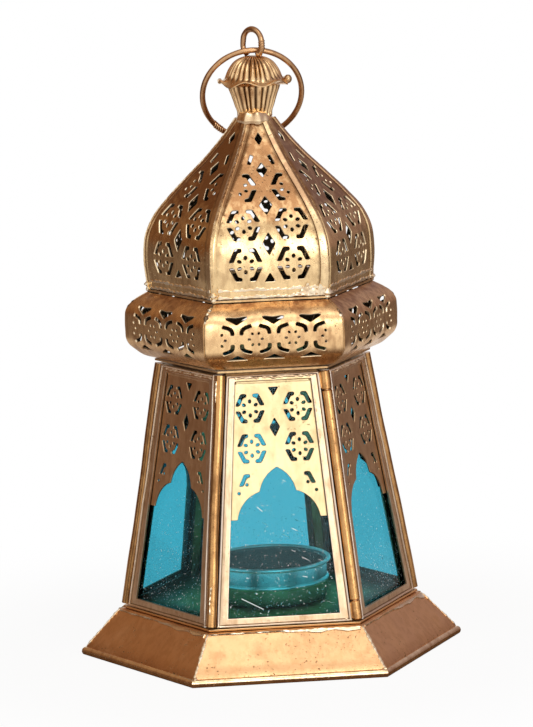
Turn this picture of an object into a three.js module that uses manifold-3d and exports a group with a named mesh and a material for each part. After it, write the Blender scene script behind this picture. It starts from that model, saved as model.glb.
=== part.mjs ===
// Hexagonal pierced sheet-brass lantern with coloured glass sides, a hinged glass door, a bulging
// pierced band, a pierced onion dome, a fluted finial and a loose carrying ring.
// Millimetres, +Z up, origin on the axis at the underside of the base rim, door facing -Y.

import * as THREE from 'three';
import { mergeGeometries, mergeVertices } from 'three/addons/utils/BufferGeometryUtils.js';
import Module from 'manifold-3d';

const wasm = await Module();
wasm.setup();

// Driving dimensions. Corner radii are measured to the hexagon's corners.
const SIDES = 6;
const GAP = 0.3;                 // between separate pieces that touch
const SHEET = 0.7;               // sheet metal of base, plates, frames and band
const TRIM = 0.6;                // thinner sheet of dome petals and arch plates

const RIM_CORNER = 72;           // wire bead round the foot of the base
const RIM_WIRE = 1.65;           // wire radius
const RIM_FLAT = 0.3;            // depth worn flat on the underside

const SKIRT_TOP_Z = 16.4;        // where the sloped skirt ends and its rounded shoulder begins
const SHOULDER_RISE = 1.1;       // from there up to the flat deck
const SHOULDER_WIDTH = 1.8;
const DECK_MARGIN = 0.3;         // deck showing outside the floor plate
const DECK_LEDGE = 10.3;         // width of the deck under the floor plate

const FLOOR_LIP = 0.6;           // floor plate showing outside the body
const BODY_FOOT_CORNER = 56.4;   // the body's faces as a tapering hexagon, at the foot
const BODY_HEAD_CORNER = 40;     // and at the head
const FRAME_SEAT = 0.4;          // solder under the frames
const FRAME_HEIGHT = 93.1;       // glazed frames, from lower to upper edge
const DOOR_LIFT = 0.9;           // room over the frames for the door, which rises as it opens

const EDGE_SETBACK = 2.75;       // from the body corner to the frame edge, along the face
const RAIL_FOOT = 3.2;           // width of a frame's lower rail
const RAIL_HEAD = 2.4;           // and of its upper rail
const STILE_FOOT = 4.1;          // width of a frame's side strips at the foot
const STILE_HEAD = 3.2;          // and at the head
const RIDGE_WIDTH = 0.8;         // bright raised ridge along each frame edge
const RIDGE_HEIGHT = 0.6;
const CHANNEL_LIP = 2.2;         // width of the channel's inner lip
const PLATE_RECESS = 1.0;        // outer face of the arch plate behind the frame face
const GLASS_THICK = 1.6;

const POST_RADIUS = 2.0;         // corner beads
const POST_INSET = 0.9;          // bead centre inside the body corner
const KNUCKLE_LENGTH = 7;        // door knuckles at both ends of the hinge bead
const PIN_RADIUS = 0.9;
const HINGE_CLEARANCE = 0.15;    // pin in its bores
const AXIAL_CLEARANCE = 0.4;     // between knuckles and bead

const COLLAR_OVERHANG = 1.3;     // plate between body and band, past the body's corner
const COLLAR_LEDGE = 8.3;

// Bulging band: corner radius outside the body's head, and height over the collar plate.
const BAND_PROFILE = [[1.2, 0.4], [5.4, 1.6], [9.3, 4.2], [12.4, 7.2], [12.4, 19.4], [8.7, 23.0],
  [3.4, 25.9]];

const DOME_RING_LEDGE = 6.6;     // plate between band and dome

// Onion dome: corner radius, and height over its ring plate, from base to neck.
const DOME_PROFILE = [[43.0, 0.3], [44.0, 12.2], [43.0, 21.0], [39.9, 27.6], [34.4, 34.2], [26.7, 42.0],
  [18.2, 50.4], [11.6, 58.1], [7.6, 63.6]];

const CUP_RADIUS = 22;           // tealight cup, outside of its wall
const CUP_WALL = 0.8;
const CUP_ROLL = 0.8;            // radius of its rolled rim
const CUP_HEIGHT = 15.6;
const CUP_BEAD_HEIGHT = 7.6;     // raised bead round the wall, over the cup's foot
const CUP_BEAD = 0.8;

const FLUTES = 24;
const FLUTE_DEPTH = 0.35;
const STEM_HEIGHT = 11.4;        // fluted finial cup
const STEM_FOOT_RADIUS = 7.6;
const STEM_HEAD_RADIUS = 10.2;
const BRIM_HEIGHT = 1.9;         // flared, wavy brim of the finial cap over the finial cup
const BRIM_RADIUS = 13.4;
const CAP_HEIGHT = 9.7;          // cap over its brim
const BRIM_WAVES = 5;
const BRIM_WAVE_HEIGHT = 0.9;

const LOOP_WIRE = 1.1;           // eye on top, bent from wire
const LOOP_HALF = 4.8;           // wire centre to eye axis
const LOOP_HEIGHT = 10.1;        // wire centre at its top over the cap
const LOOP_TURN = THREE.MathUtils.degToRad(50);   // eye turned so that the ring threads it

const RING_WIRE = 1.1;           // carrying ring
const RING_RADIUS = 18.9;
const RING_CLEARANCE = 0.8;      // ring over the cap
const RING_LEAN = THREE.MathUtils.degToRad(23);   // lies back against the dome

// Piercing. A rosette is a broken hexagon of four bent slots, punched with one tool on the dome and
// with smaller ones elsewhere. Heights are measured from the foot of each sheet's own seat.
const ROSETTE_HALF_WIDTH = 7.1;
const ROSETTE_HALF_HEIGHT = 6.2;
const SLOT_WIDTH = 1.5;

const PETAL_PITCH = 9.05;        // rosettes either side of a petal's middle line
const PETAL_ROSETTES = [13.1, 27.8];
const PETAL_HALF_ROSETTES = 40.2;
const PETAL_TRIANGLE = [6.5, 2.1, 3.4];           // height, half width, length
const PETAL_DIAMONDS = [[20.7, 2.5, 4.4], [34.1, 2.5, 4.2], [46.0, 2.1, 3.4], [56.8, 1.5, 2.7]];
const PETAL_SLANTED = [3.9, 49.5];                // distance from the middle line, height

const BAND_PITCH = 6.9;          // half the distance between the band's rosettes
const BAND_ROW = 13.2;
const BAND_TRIANGLES = [[21.3, 4.0, -2.9], [5.3, 3.9, 2.2]];
const BAND_SLOT = [[1.4, 5.2], [5.1, 3.4], [5.2, 1.7]];   // middle line of a slot, from its rosette's centre
const BAND_SLOT_WIDTH = 1.3;

const PLATE_SIZE = 0.86;         // size of the arch plates' rosettes
const PLATE_PITCH = 9;
const PLATE_ROSETTES = [80.4, 65.5];
const PLATE_HALF_ROSETTES = 50.7;
const PLATE_TRIANGLE = [87.9, 1.9, -3.1];
const PLATE_DIAMOND = [73.1, 1.9, 3.5];

// Cusped arch, half width and height over the foot of the frame, from the side to the point.
const ARCH_SPRING = 39.2;
const ARCH = [[15.6, 39.2], [14.9, 41.7], [13.7, 44.2], [12.2, 46.3], [9.9, 48.1], [6.9, 49.4], [5.8, 52.6],
  [3.6, 55.7], [0, 58.3]];

// Heights and radii that follow, from the table up.
const COS_SIDE = Math.cos(Math.PI / SIDES);
const DECK_Z = SKIRT_TOP_Z + SHOULDER_RISE;
const FLOOR_Z = DECK_Z + GAP;
const FLOOR_TOP_Z = FLOOR_Z + SHEET;
const FLOOR_CORNER = BODY_FOOT_CORNER + FLOOR_LIP;
const DECK_CORNER = FLOOR_CORNER + DECK_MARGIN;
const SKIRT_TOP_CORNER = DECK_CORNER + SHOULDER_WIDTH;
const FRAME_FOOT_Z = FLOOR_TOP_Z + FRAME_SEAT;
const FRAME_HEAD_Z = FRAME_FOOT_Z + FRAME_HEIGHT;
const BODY_FOOT_Z = FLOOR_TOP_Z - GAP;
const BODY_HEAD_Z = FRAME_HEAD_Z + DOOR_LIFT;
const COLLAR_Z = BODY_HEAD_Z + GAP;
const COLLAR_TOP_Z = COLLAR_Z + SHEET;
const COLLAR_CORNER = BODY_HEAD_CORNER + COLLAR_OVERHANG;
const [BAND_TOP_REACH, BAND_TOP_HEIGHT] = BAND_PROFILE[BAND_PROFILE.length - 1];
const DOME_RING_Z = COLLAR_TOP_Z + BAND_TOP_HEIGHT + GAP;
const DOME_RING_TOP_Z = DOME_RING_Z + SHEET;
const DOME_RING_CORNER = BODY_HEAD_CORNER + BAND_TOP_REACH + 0.2;
const DOME_HEIGHT = DOME_PROFILE[DOME_PROFILE.length - 1][1];
const STEM_FOOT_Z = DOME_RING_TOP_Z + DOME_HEIGHT + TRIM;
const STEM_HEAD_Z = STEM_FOOT_Z + STEM_HEIGHT;
const BRIM_Z = STEM_HEAD_Z + BRIM_HEIGHT;
const CAP_TOP_Z = BRIM_Z + CAP_HEIGHT;
const LOOP_TOP_Z = CAP_TOP_Z + LOOP_HEIGHT;
const RING_PIVOT_Z = CAP_TOP_Z + RING_WIRE + RING_CLEARANCE;
const CUP_FOOT_Z = FLOOR_TOP_Z + GAP;
const CUP_TOP_Z = CUP_FOOT_Z + CUP_HEIGHT;
const CUP_BEAD_Z = CUP_FOOT_Z + CUP_BEAD_HEIGHT;

const brass = () => new THREE.MeshStandardMaterial({ color: 0xb98a4e, roughness: 0.38, metalness: 1 });
const darkBrass = () => new THREE.MeshStandardMaterial({ color: 0x8f6336, roughness: 0.45, metalness: 1 });
const glass = () => new THREE.MeshStandardMaterial({
  color: 0x3aa6c0, roughness: 0.08, metalness: 0, transparent: true, opacity: 0.45 });

const v2 = (x, y) => new THREE.Vector2(x, y);
const lerp = THREE.MathUtils.lerp;

// One closed body with shared vertices, no flat triangles and its faces outward.
function closed(geometry) {
  const plain = geometry.index ? geometry.toNonIndexed() : geometry.clone();
  for (const name of Object.keys(plain.attributes)) if (name !== 'position') plain.deleteAttribute(name);
  const merged = mergeVertices(plain, 1e-4);
  const at = merged.attributes.position;
  const kept = [];
  for (let i = 0; i < merged.index.count; i += 3) {
    const [a, b, c] = [0, 1, 2].map((k) => merged.index.getX(i + k));
    if (a !== b && b !== c && c !== a) kept.push([a, b, c]);
  }
  const [p, q, r] = [new THREE.Vector3(), new THREE.Vector3(), new THREE.Vector3()];
  const volume = kept.reduce((sum, [a, b, c]) => sum
    + p.fromBufferAttribute(at, a).dot(q.fromBufferAttribute(at, b).cross(r.fromBufferAttribute(at, c))), 0);
  merged.setIndex(kept.flatMap(([a, b, c]) => (volume < 0 ? [a, c, b] : [a, b, c])));
  return merged;
}

function toSolid(geometry) {
  const g = closed(geometry);
  return new wasm.Manifold(new wasm.Mesh({
    numProp: 3,
    vertProperties: new Float32Array(g.attributes.position.array),
    triVerts: new Uint32Array(g.index.array) }));
}

function fromSolid(solid) {
  const mesh = solid.getMesh();
  const g = new THREE.BufferGeometry();
  g.setAttribute('position', new THREE.Float32BufferAttribute(mesh.vertProperties, 3));
  g.setIndex([...mesh.triVerts]);
  return g;
}

// Revolve a closed profile of [radius, height] about Z; six segments make a mitred hexagon whose
// profile is measured at the corners, with a flat towards -Y.
function revolve(profile, segments = SIDES) {
  const points = [...profile, profile[0]].map(([r, z]) => v2(r, z));
  return closed(new THREE.LatheGeometry(points, segments, Math.PI / SIDES).rotateX(Math.PI / 2));
}

// Join rings of points, each [x, y, z], into a closed skin that also closes on its first ring.
function loft(rings) {
  const n = rings[0].length;
  const index = [];
  rings.forEach((_, i) => {
    const j = (i + 1) % rings.length;
    for (let k = 0; k < n; k++) {
      const l = (k + 1) % n;
      const [a, b, c, d] = [i * n + k, i * n + l, j * n + l, j * n + k];
      index.push(a, b, c, a, c, d);
    }
  });
  const g = new THREE.BufferGeometry();
  g.setAttribute('position', new THREE.Float32BufferAttribute(rings.flat(2), 3));
  g.setIndex(index);
  return closed(g);
}

// Prism of an outline, between two heights, with an optional bore.
function prism(outline, from, to, bore = null) {
  const shape = new THREE.Shape(outline.map(([x, y]) => v2(x, y)));
  if (bore) shape.holes = [new THREE.Path(bore.map(([x, y]) => v2(x, y)))];
  return new THREE.ExtrudeGeometry(shape, { depth: to - from, bevelEnabled: false }).translate(0, 0, from);
}

// Sheet of an outline with holes punched through it.
function pierced(outline, holes, thickness) {
  const blank = toSolid(prism(outline, 0, thickness));
  if (!holes.length) return blank;
  return blank.subtract(toSolid(mergeGeometries(holes.map((hole) => prism(hole, -1, thickness + 1)))));
}

// Pierce a blank (outline and holes in u, s) strip by strip between its fold lines, leave the strips
// joined along those lines and fold them: place(u, s, t) is the point at depth t of the sheet.
function foldedSheet(half, holes, folds, thickness, place) {
  const last = folds.length - 1;
  const shared = [];
  const corners = [];
  const snap = (u, s) => {
    const fold = folds.find((f) => Math.abs(f - s) < 1e-3);
    if (fold === undefined) return [u, s];
    let known = shared.find(([x, y]) => y === fold && Math.abs(x - u) < 1e-3);
    if (!known) shared.push(known = [u, fold]);
    return known;
  };
  for (let f = 0; f < last; f++) {
    const [low, high] = [folds[f], folds[f + 1]];
    const strip = [[-half(f), low], [half(f), low], [half(f + 1), high], [-half(f + 1), high]];
    const near = holes.filter((hole) => hole.some(([, y]) => y > low) && hole.some(([, y]) => y < high));
    const sheet = fromSolid(pierced(strip, near, thickness)).toNonIndexed().attributes.position;
    for (let i = 0; i < sheet.count; i += 3) {
      const face = [0, 1, 2].map((k) => [sheet.getX(i + k), sheet.getY(i + k), sheet.getZ(i + k)]);
      const onFold = (s) => face.every(([, y]) => Math.abs(y - s) < 1e-3);
      if ((f > 0 && onFold(low)) || (f + 1 < last && onFold(high))) continue;
      for (const [u, y, t] of face) corners.push(...place(...snap(u, y), t));
    }
  }
  const g = new THREE.BufferGeometry();
  g.setAttribute('position', new THREE.Float32BufferAttribute(corners, 3));
  return closed(g);
}

// A folded profile of [corner radius, height]: lengths along the face and, at each fold, the
// direction in which the sheet thickens inward.
function foldProfile(profile) {
  const at = profile.map(([r, z]) => v2(r * COS_SIDE, z));
  const runs = at.slice(1).map((p, i) => p.distanceTo(at[i]));
  const s = runs.reduce((list, run) => [...list, list[list.length - 1] + run], [0]);
  const normals = runs.map((run, i) => v2(at[i + 1].y - at[i].y, at[i].x - at[i + 1].x).divideScalar(run));
  const inward = at.map((_, i) => {
    const [a, b] = [normals[Math.max(0, i - 1)], normals[Math.min(runs.length - 1, i)]];
    const sum = a.clone().add(b);
    return sum.multiplyScalar(-2 / sum.lengthSq());
  });
  const half = (i) => at[i].x * Math.tan(Math.PI / SIDES) - GAP / 2 / COS_SIDE;
  const span = (value) => {
    let i = 0;
    while (i + 2 < s.length && value > s[i + 1]) i++;
    return [i, (value - s[i]) / (s[i + 1] - s[i])];
  };
  // Mitred ends: the width follows the distance from the axis through the sheet's thickness.
  const place = (u, value, t) => {
    const [i, f] = span(value);
    const base = at[i].clone().lerp(at[i + 1], f);
    const p = at[i].clone().addScaledVector(inward[i], t)
      .lerp(at[i + 1].clone().addScaledVector(inward[i + 1], t), f);
    return [u * p.x / base.x, -p.x, p.y];
  };
  // Length along the face at a height.
  const lengthAt = (z) => {
    let i = 0;
    while (i + 2 < at.length && z > at[i + 1].y) i++;
    return lerp(s[i], s[i + 1], (z - at[i].y) / (at[i + 1].y - at[i].y));
  };
  return { s, half, place, lengthAt };
}

// Piercing shapes, each a list of [u, s].
const diamond = (u, s, halfWidth, halfHeight) =>
  [[u - halfWidth, s], [u, s - halfHeight], [u + halfWidth, s], [u, s + halfHeight]];

const triangle = (u, s, halfWidth, height) => [[u - halfWidth, s], [u + halfWidth, s], [u, s + height]];

// One bent slot of a rosette's broken hexagon, in the quarter given by the signs of x and y: down
// one slanted side and round on to the level side. The smaller ones are punched with a plain inside.
function bentSlot(u, s, x, y, size = 1) {
  const [w, h, b] = [ROSETTE_HALF_WIDTH * size, ROSETTE_HALF_HEIGHT * size, SLOT_WIDTH * size];
  const inside = size < 1 ? [] : [[w / 2 - 0.4 * b, h - b]];
  const corner = w - 0.47 * b;
  return [[corner, 1.0], [w / 2 + 0.3, h], [1.4 * size, h], [1.4 * size, h - b * 0.8], ...inside,
    [corner - b * 1.15, 1.0]].map(([p, q]) => [u + x * p, s + y * q]);
}

// The band's rosettes stand on a point: their slots slant down from the top and bend into the side.
function sideSlot(u, s, x, y) {
  const line = BAND_SLOT.map(([p, q]) => v2(p, q));
  const normals = [1, 2].map((i) => v2(line[i - 1].y - line[i].y, line[i].x - line[i - 1].x).normalize());
  const mitre = normals[0].clone().add(normals[1]);
  const out = [normals[0], mitre.multiplyScalar(2 / mitre.lengthSq()), normals[1]];
  const edge = (side) => line.map((p, i) => p.clone().addScaledVector(out[i], side * BAND_SLOT_WIDTH / 2));
  return [...edge(1), ...edge(-1).reverse()].map((p) => [u + x * p.x, s + y * p.y]);
}

// Straight slot leaning away from the middle of the sheet as it goes down.
const slanted = (u, s) => [[-0.1, 2.3], [-1.3, 1.7], [0.2, -2.3], [1.4, -1.8]]
  .map(([p, q]) => [u + Math.sign(u) * p, s + q]);

const rosette = (u, s, size = 1) => [[1, 1], [-1, 1], [-1, -1], [1, -1]]
  .map(([x, y]) => bentSlot(u, s, x, y, size));

const lantern = new THREE.Group();

function add(name, geometry, material, parent = lantern) {
  const mesh = new THREE.Mesh(geometry, material);
  mesh.name = name;
  parent.add(mesh);
  return mesh;
}

const FACES = ['front', 'front_right', 'back_right', 'back', 'back_left', 'front_left'];
const CORNERS = ['front_right', 'right', 'back_right', 'back_left', 'left', 'front_left'];
const faceGroup = (k) => {
  const group = new THREE.Group();
  group.rotation.z = k * 2 * Math.PI / SIDES;
  lantern.add(group);
  return group;
};

const bodyCorner = (z) =>
  lerp(BODY_FOOT_CORNER, BODY_HEAD_CORNER, (z - BODY_FOOT_Z) / (BODY_HEAD_Z - BODY_FOOT_Z));

// Base: a wire bead, the folded skirt on it, the floor plate and the cup.
function baseRim() {
  const middle = RIM_WIRE - RIM_FLAT;
  const cut = Math.acos(middle / RIM_WIRE);
  const steps = 8;
  const profile = Array.from({ length: steps + 1 }, (_, i) => {
    const a = -Math.PI / 2 + cut + i * (2 * Math.PI - 2 * cut) / steps;
    return [RIM_CORNER + RIM_WIRE * Math.cos(a), middle + RIM_WIRE * Math.sin(a)];
  });
  return revolve(profile);
}

function baseSkirt() {
  const foot = 2 * RIM_WIRE - RIM_FLAT + GAP;
  const footCorner = RIM_CORNER - GAP;
  const inner = SHEET / COS_SIDE;
  const hole = DECK_CORNER - DECK_LEDGE;
  return revolve([[footCorner, foot], [SKIRT_TOP_CORNER, SKIRT_TOP_Z], [DECK_CORNER, DECK_Z],
    [hole, DECK_Z], [hole, DECK_Z - SHEET], [DECK_CORNER - 0.5 * SHEET, DECK_Z - SHEET],
    [SKIRT_TOP_CORNER - inner, SKIRT_TOP_Z - SHEET], [footCorner - 1.4 * inner, foot]]);
}

const plate = (corner, ledge, z) => revolve([[corner, z], [corner, z + SHEET], [corner - ledge, z + SHEET],
  [corner - ledge, z]]);

function floorPlate() {
  const disc = new THREE.CylinderGeometry(FLOOR_CORNER, FLOOR_CORNER, SHEET, SIDES, 1, false, Math.PI / SIDES);
  return closed(disc.rotateX(Math.PI / 2).translate(0, 0, FLOOR_Z + SHEET / 2));
}

function tealightCup() {
  const [r, w, foot, bend] = [CUP_RADIUS, CUP_WALL, CUP_FOOT_Z, 1.5];
  return closed(new THREE.LatheGeometry([[0, foot], [r - 1, foot], [r, foot + bend], [r, CUP_BEAD_Z - CUP_BEAD],
    [r + CUP_BEAD, CUP_BEAD_Z], [r, CUP_BEAD_Z + CUP_BEAD], [r, CUP_TOP_Z - 2 * CUP_ROLL],
    [r + 2 * CUP_ROLL, CUP_TOP_Z - CUP_ROLL], [r + CUP_ROLL, CUP_TOP_Z], [r - w, CUP_TOP_Z - CUP_ROLL],
    [r - w, foot + bend], [r - 2 * w, foot + w], [0, foot + w]]
    .map(([x, z]) => v2(x, z)), 16).rotateX(Math.PI / 2));
}

add('base_rim', baseRim(), darkBrass());
add('base_skirt', baseSkirt(), brass());
add('floor_plate', floorPlate(), darkBrass());
add('tealight_cup', tealightCup(), brass());

// Tapering body. A face is drawn flat in x and y, y measured up its slope from the foot, and n
// outward; faceGroup and tilted stand it in place.
const LEAN = Math.atan2((BODY_FOOT_CORNER - BODY_HEAD_CORNER) * COS_SIDE, BODY_HEAD_Z - BODY_FOOT_Z);
const upSlope = (z) => (z - BODY_FOOT_Z) / Math.cos(LEAN);
const tilted = (k) => {
  const face = faceGroup(k);
  const slope = new THREE.Group();
  slope.position.set(0, -BODY_FOOT_CORNER * COS_SIDE, BODY_FOOT_Z);
  slope.rotation.x = Math.PI / 2 - LEAN;
  face.add(slope);
  return slope;
};

const frameHalf = (z) => bodyCorner(z) / 2 - EDGE_SETBACK;

// Outline of a glazed frame, drawn in by a margin on every side.
function frameOutline(margin) {
  const [y0, y1] = [upSlope(FRAME_FOOT_Z) + margin, upSlope(FRAME_HEAD_Z) - margin];
  const half = (y) => frameHalf(BODY_FOOT_Z + y * Math.cos(LEAN)) - margin;
  return [[-half(y0), y0], [half(y0), y0], [half(y1), y1], [-half(y1), y1]];
}

// Outline of the glazed opening.
function openingOutline() {
  const [foot, head] = [FRAME_FOOT_Z + RAIL_FOOT, FRAME_HEAD_Z - RAIL_HEAD];
  const [x0, x1] = [frameHalf(foot) - STILE_FOOT, frameHalf(head) - STILE_HEAD];
  const [y0, y1] = [upSlope(foot), upSlope(head)];
  return [[-x0, y0], [x0, y0], [x1, y1], [-x1, y1]];
}

const PLATE_BACK = PLATE_RECESS + TRIM;
const GLASS_FRONT = PLATE_BACK + GAP;
const GLASS_BACK = GLASS_FRONT + GLASS_THICK;
const CHANNEL_BACK = GLASS_BACK + GAP + SHEET;

// Depths run level into the body, so that the top and foot of every layer are parallel to the deck.
const LEVEL = new THREE.Matrix4().makeShear(0, 0, 0, 0, 0, -Math.tan(LEAN));

// Channel frame folded from strip: raised ridge, face, side wall and inner lip that holds the glass.
function channelFrame() {
  const ring = (outline, n) => outline.map(([x, y]) => [x, y, n]);
  const [outer, ridge, wall, lip] = [0, RIDGE_WIDTH, SHEET, CHANNEL_LIP].map(frameOutline);
  const opening = openingOutline();
  return loft([ring(outer, RIDGE_HEIGHT), ring(ridge, RIDGE_HEIGHT), ring(ridge, 0), ring(opening, 0),
    ring(opening, -SHEET), ring(wall, -SHEET), ring(wall, -CHANNEL_BACK + SHEET),
    ring(lip, -CHANNEL_BACK + SHEET), ring(lip, -CHANNEL_BACK), ring(outer, -CHANNEL_BACK)])
    .applyMatrix4(LEVEL);
}

const pane = () => closed(prism(frameOutline(SHEET + GAP), -GLASS_BACK, -GLASS_FRONT)).applyMatrix4(LEVEL);

// Pierced plate over the upper glass, cut below into a cusped arch.
function archPlate() {
  const at = (height) => upSlope(FRAME_FOOT_Z + height);
  const [, [xf, yf], [x1, y1]] = frameOutline(SHEET + GAP);
  const foot = at(ARCH_SPRING);
  const reach = lerp(xf, x1, (foot - yf) / (y1 - yf));
  const right = [[reach, foot], ...ARCH.map(([x, height]) => [x, at(height)])];
  const left = right.slice(0, -1).map(([x, y]) => [-x, y]);
  const [triangleHeight, ...triangleSize] = PLATE_TRIANGLE;
  const [diamondHeight, ...diamondSize] = PLATE_DIAMOND;
  const holes = [triangle(0, at(triangleHeight), ...triangleSize),
    diamond(0, at(diamondHeight), ...diamondSize),
    ...[-1, 1].flatMap((side) => [
      ...PLATE_ROSETTES.flatMap((height) => rosette(side * PLATE_PITCH, at(height), PLATE_SIZE)),
      bentSlot(side * PLATE_PITCH, at(PLATE_HALF_ROSETTES), side, 1, PLATE_SIZE)])];
  return fromSolid(pierced([[x1, y1], [-x1, y1], ...left, ...right.reverse()], holes, TRIM))
    .translate(0, 0, -PLATE_BACK).applyMatrix4(LEVEL);
}

// Corner line of the body, and a group whose Z runs up it at the bead's centre.
const CORNER_LEAN = Math.atan2(BODY_FOOT_CORNER - BODY_HEAD_CORNER, BODY_HEAD_Z - BODY_FOOT_Z);
const POST_FOOT_Z = FRAME_FOOT_Z + FRAME_SEAT;
const POST_RUN = (FRAME_HEAD_Z - POST_FOOT_Z) / Math.cos(CORNER_LEAN);
function cornerGroup(k) {
  const turn = new THREE.Group();
  turn.rotation.z = (k + 0.5) * 2 * Math.PI / SIDES;
  const line = new THREE.Group();
  line.position.set(0, -(bodyCorner(POST_FOOT_Z) - POST_INSET), POST_FOOT_Z);
  line.rotation.x = -CORNER_LEAN;
  turn.add(line);
  lantern.add(turn);
  return line;
}

const circle = (radius, count = 12) => Array.from({ length: count }, (_, i) =>
  [radius * Math.cos(2 * Math.PI * i / count), radius * Math.sin(2 * Math.PI * i / count)]);

// Bead: round to the outside, flat behind.
const beadSection = () => {
  const arc = Array.from({ length: 7 }, (_, i) => Math.PI * (1 + i / 6));
  const back = 0.45 * POST_RADIUS;
  return [...arc.map((a) => [POST_RADIUS * Math.cos(a), POST_RADIUS * Math.sin(a)]),
    [POST_RADIUS * 0.7, back], [-POST_RADIUS * 0.7, back]];
};

const BORE = PIN_RADIUS + HINGE_CLEARANCE;
CORNERS.forEach((name, k) => {
  const line = cornerGroup(k);
  const hinge = k === 0;
  const end = KNUCKLE_LENGTH + AXIAL_CLEARANCE;
  const geometry = hinge ? prism(circle(POST_RADIUS), end, POST_RUN - end, circle(BORE))
    : prism(beadSection(), 0, POST_RUN);
  add(`post_${name}`, closed(geometry), brass(), line);
  if (hinge) add('hinge_pin', closed(prism(circle(PIN_RADIUS), 0.2, POST_RUN - 0.2)), darkBrass(), line);
});

// The door is the front frame with a knuckle round the hinge bead's line at each end.
function doorFrame() {
  const line = cornerGroup(0);
  const face = tilted(0);
  lantern.updateMatrixWorld(true);
  const toFace = face.matrixWorld.clone().invert().multiply(line.matrixWorld);
  line.parent.removeFromParent();
  face.parent.removeFromParent();
  const stileLean = Math.atan2((BODY_FOOT_CORNER - BODY_HEAD_CORNER) / 2, upSlope(BODY_HEAD_Z));
  let solid = toSolid(channelFrame());
  for (const from of [0, POST_RUN - KNUCKLE_LENGTH]) {
    const to = from + KNUCKLE_LENGTH;
    const barrel = toSolid(prism(circle(POST_RADIUS), from, to).applyMatrix4(toFace));
    const bore = toSolid(prism(circle(BORE), from - 1, to + 1).applyMatrix4(toFace));
    const middle = new THREE.Vector3(0, 0, (from + to) / 2).applyMatrix4(toFace);
    const web = new THREE.BoxGeometry(1.3 * POST_RADIUS, KNUCKLE_LENGTH - 1, 1.1).rotateZ(stileLean)
      .translate(middle.x - POST_RADIUS * 0.9, middle.y, middle.z + 0.35);
    solid = solid.add(barrel).add(toSolid(web)).subtract(bore);
  }
  return fromSolid(solid);
}

FACES.forEach((name, k) => {
  const face = tilted(k);
  add(k === 0 ? 'door_frame' : `frame_${name}`, k === 0 ? doorFrame() : channelFrame(), brass(), face);
  add(`pane_${name}`, pane(), glass(), face);
  add(`arch_${name}`, archPlate(), brass(), face);
});

// Band and dome, each on its own plate.
function bandSegment() {
  const fold = foldProfile(BAND_PROFILE.map(([reach, height]) =>
    [BODY_HEAD_CORNER + reach, COLLAR_TOP_Z + height]));
  const at = (height) => fold.lengthAt(COLLAR_TOP_Z + height);
  const row = at(BAND_ROW);
  const holes = [
    ...[-2, 0, 2].flatMap((k) => BAND_TRIANGLES.map(([height, ...size]) =>
      triangle(k * BAND_PITCH, at(height), ...size))),
    ...[-3, -1, 1, 3].flatMap((k) => [-1, 1].filter((x) => Math.abs(k) < 3 || x * k < 0)
      .flatMap((x) => [-1, 1].map((y) => sideSlot(k * BAND_PITCH, row, x, y))))];
  return foldedSheet(fold.half, holes, fold.s, SHEET, fold.place);
}

function domePetal() {
  const fold = foldProfile(DOME_PROFILE.map(([corner, height]) => [corner, DOME_RING_TOP_Z + height]));
  const at = (height) => fold.lengthAt(DOME_RING_TOP_Z + height);
  const [triangleHeight, ...triangleSize] = PETAL_TRIANGLE;
  const [slantedPitch, slantedHeight] = PETAL_SLANTED;
  const holes = [triangle(0, at(triangleHeight), ...triangleSize),
    ...PETAL_DIAMONDS.map(([height, ...size]) => diamond(0, at(height), ...size)),
    ...[-1, 1].flatMap((side) => [
      ...PETAL_ROSETTES.flatMap((height) => rosette(side * PETAL_PITCH, at(height))),
      ...[-1, 1].map((y) => bentSlot(side * PETAL_PITCH, at(PETAL_HALF_ROSETTES), -side, y)),
      slanted(side * slantedPitch, at(slantedHeight))])];
  return foldedSheet(fold.half, holes, fold.s, TRIM, fold.place);
}

add('collar_plate', plate(COLLAR_CORNER, COLLAR_LEDGE, COLLAR_Z), brass());
add('dome_ring', plate(DOME_RING_CORNER, DOME_RING_LEDGE, DOME_RING_Z), brass());
FACES.forEach((name, k) => {
  add(`band_${name}`, bandSegment(), brass(), faceGroup(k));
  add(`petal_${name}`, domePetal(), brass(), faceGroup(k));
});

// Revolve a profile, then press flutes into it; depth and lift are functions of the profile step.
function fluted(profile, depth, lift = () => 0) {
  const count = FLUTES * 2;
  const g = new THREE.LatheGeometry(profile.map(([r, z]) => v2(r, z)), count);
  const at = g.attributes.position;
  for (let i = 0; i < at.count; i++) {
    const step = i % profile.length;
    const turn = Math.floor(i / profile.length) % count;
    const [r] = profile[step];
    const scale = r > 0 ? (r + (turn % 2 ? -depth(step) : depth(step))) / r : 1;
    at.setXYZ(i, at.getX(i) * scale, at.getY(i) + lift(step, 2 * Math.PI * turn / count), at.getZ(i) * scale);
  }
  return closed(g.rotateX(Math.PI / 2));
}

function finialCup() {
  const [r0, r1, z0, z1] = [STEM_FOOT_RADIUS, STEM_HEAD_RADIUS, STEM_FOOT_Z, STEM_HEAD_Z];
  const middle = [(r0 + r1) / 2 + 0.4, (z0 + z1) / 2];
  return fluted([[0, z0], [r0 - 1, z0], [r0, z0 + 0.8], middle, [r1, z1], [0, z1]],
    (step) => (step > 1 && step < 5 ? FLUTE_DEPTH : 0));
}

function finialCap() {
  const [r, z, top] = [BRIM_RADIUS, BRIM_Z, CAP_TOP_Z];
  const up = (share) => lerp(z, top, share);
  const under = STEM_HEAD_Z + GAP;
  return fluted([[0, under], [STEM_HEAD_RADIUS - 1, under], [r - 0.4, z - SHEET], [r, z],
    [0.77 * r, up(0.18)], [0.63 * r, up(0.55)], [0.34 * r, up(0.9)], [0, top]],
    (step) => (step > 2 && step < 6 ? FLUTE_DEPTH : 0),
    (step, a) => (step === 2 || step === 3 ? BRIM_WAVE_HEIGHT * Math.cos(BRIM_WAVES * a) : 0));
}

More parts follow.
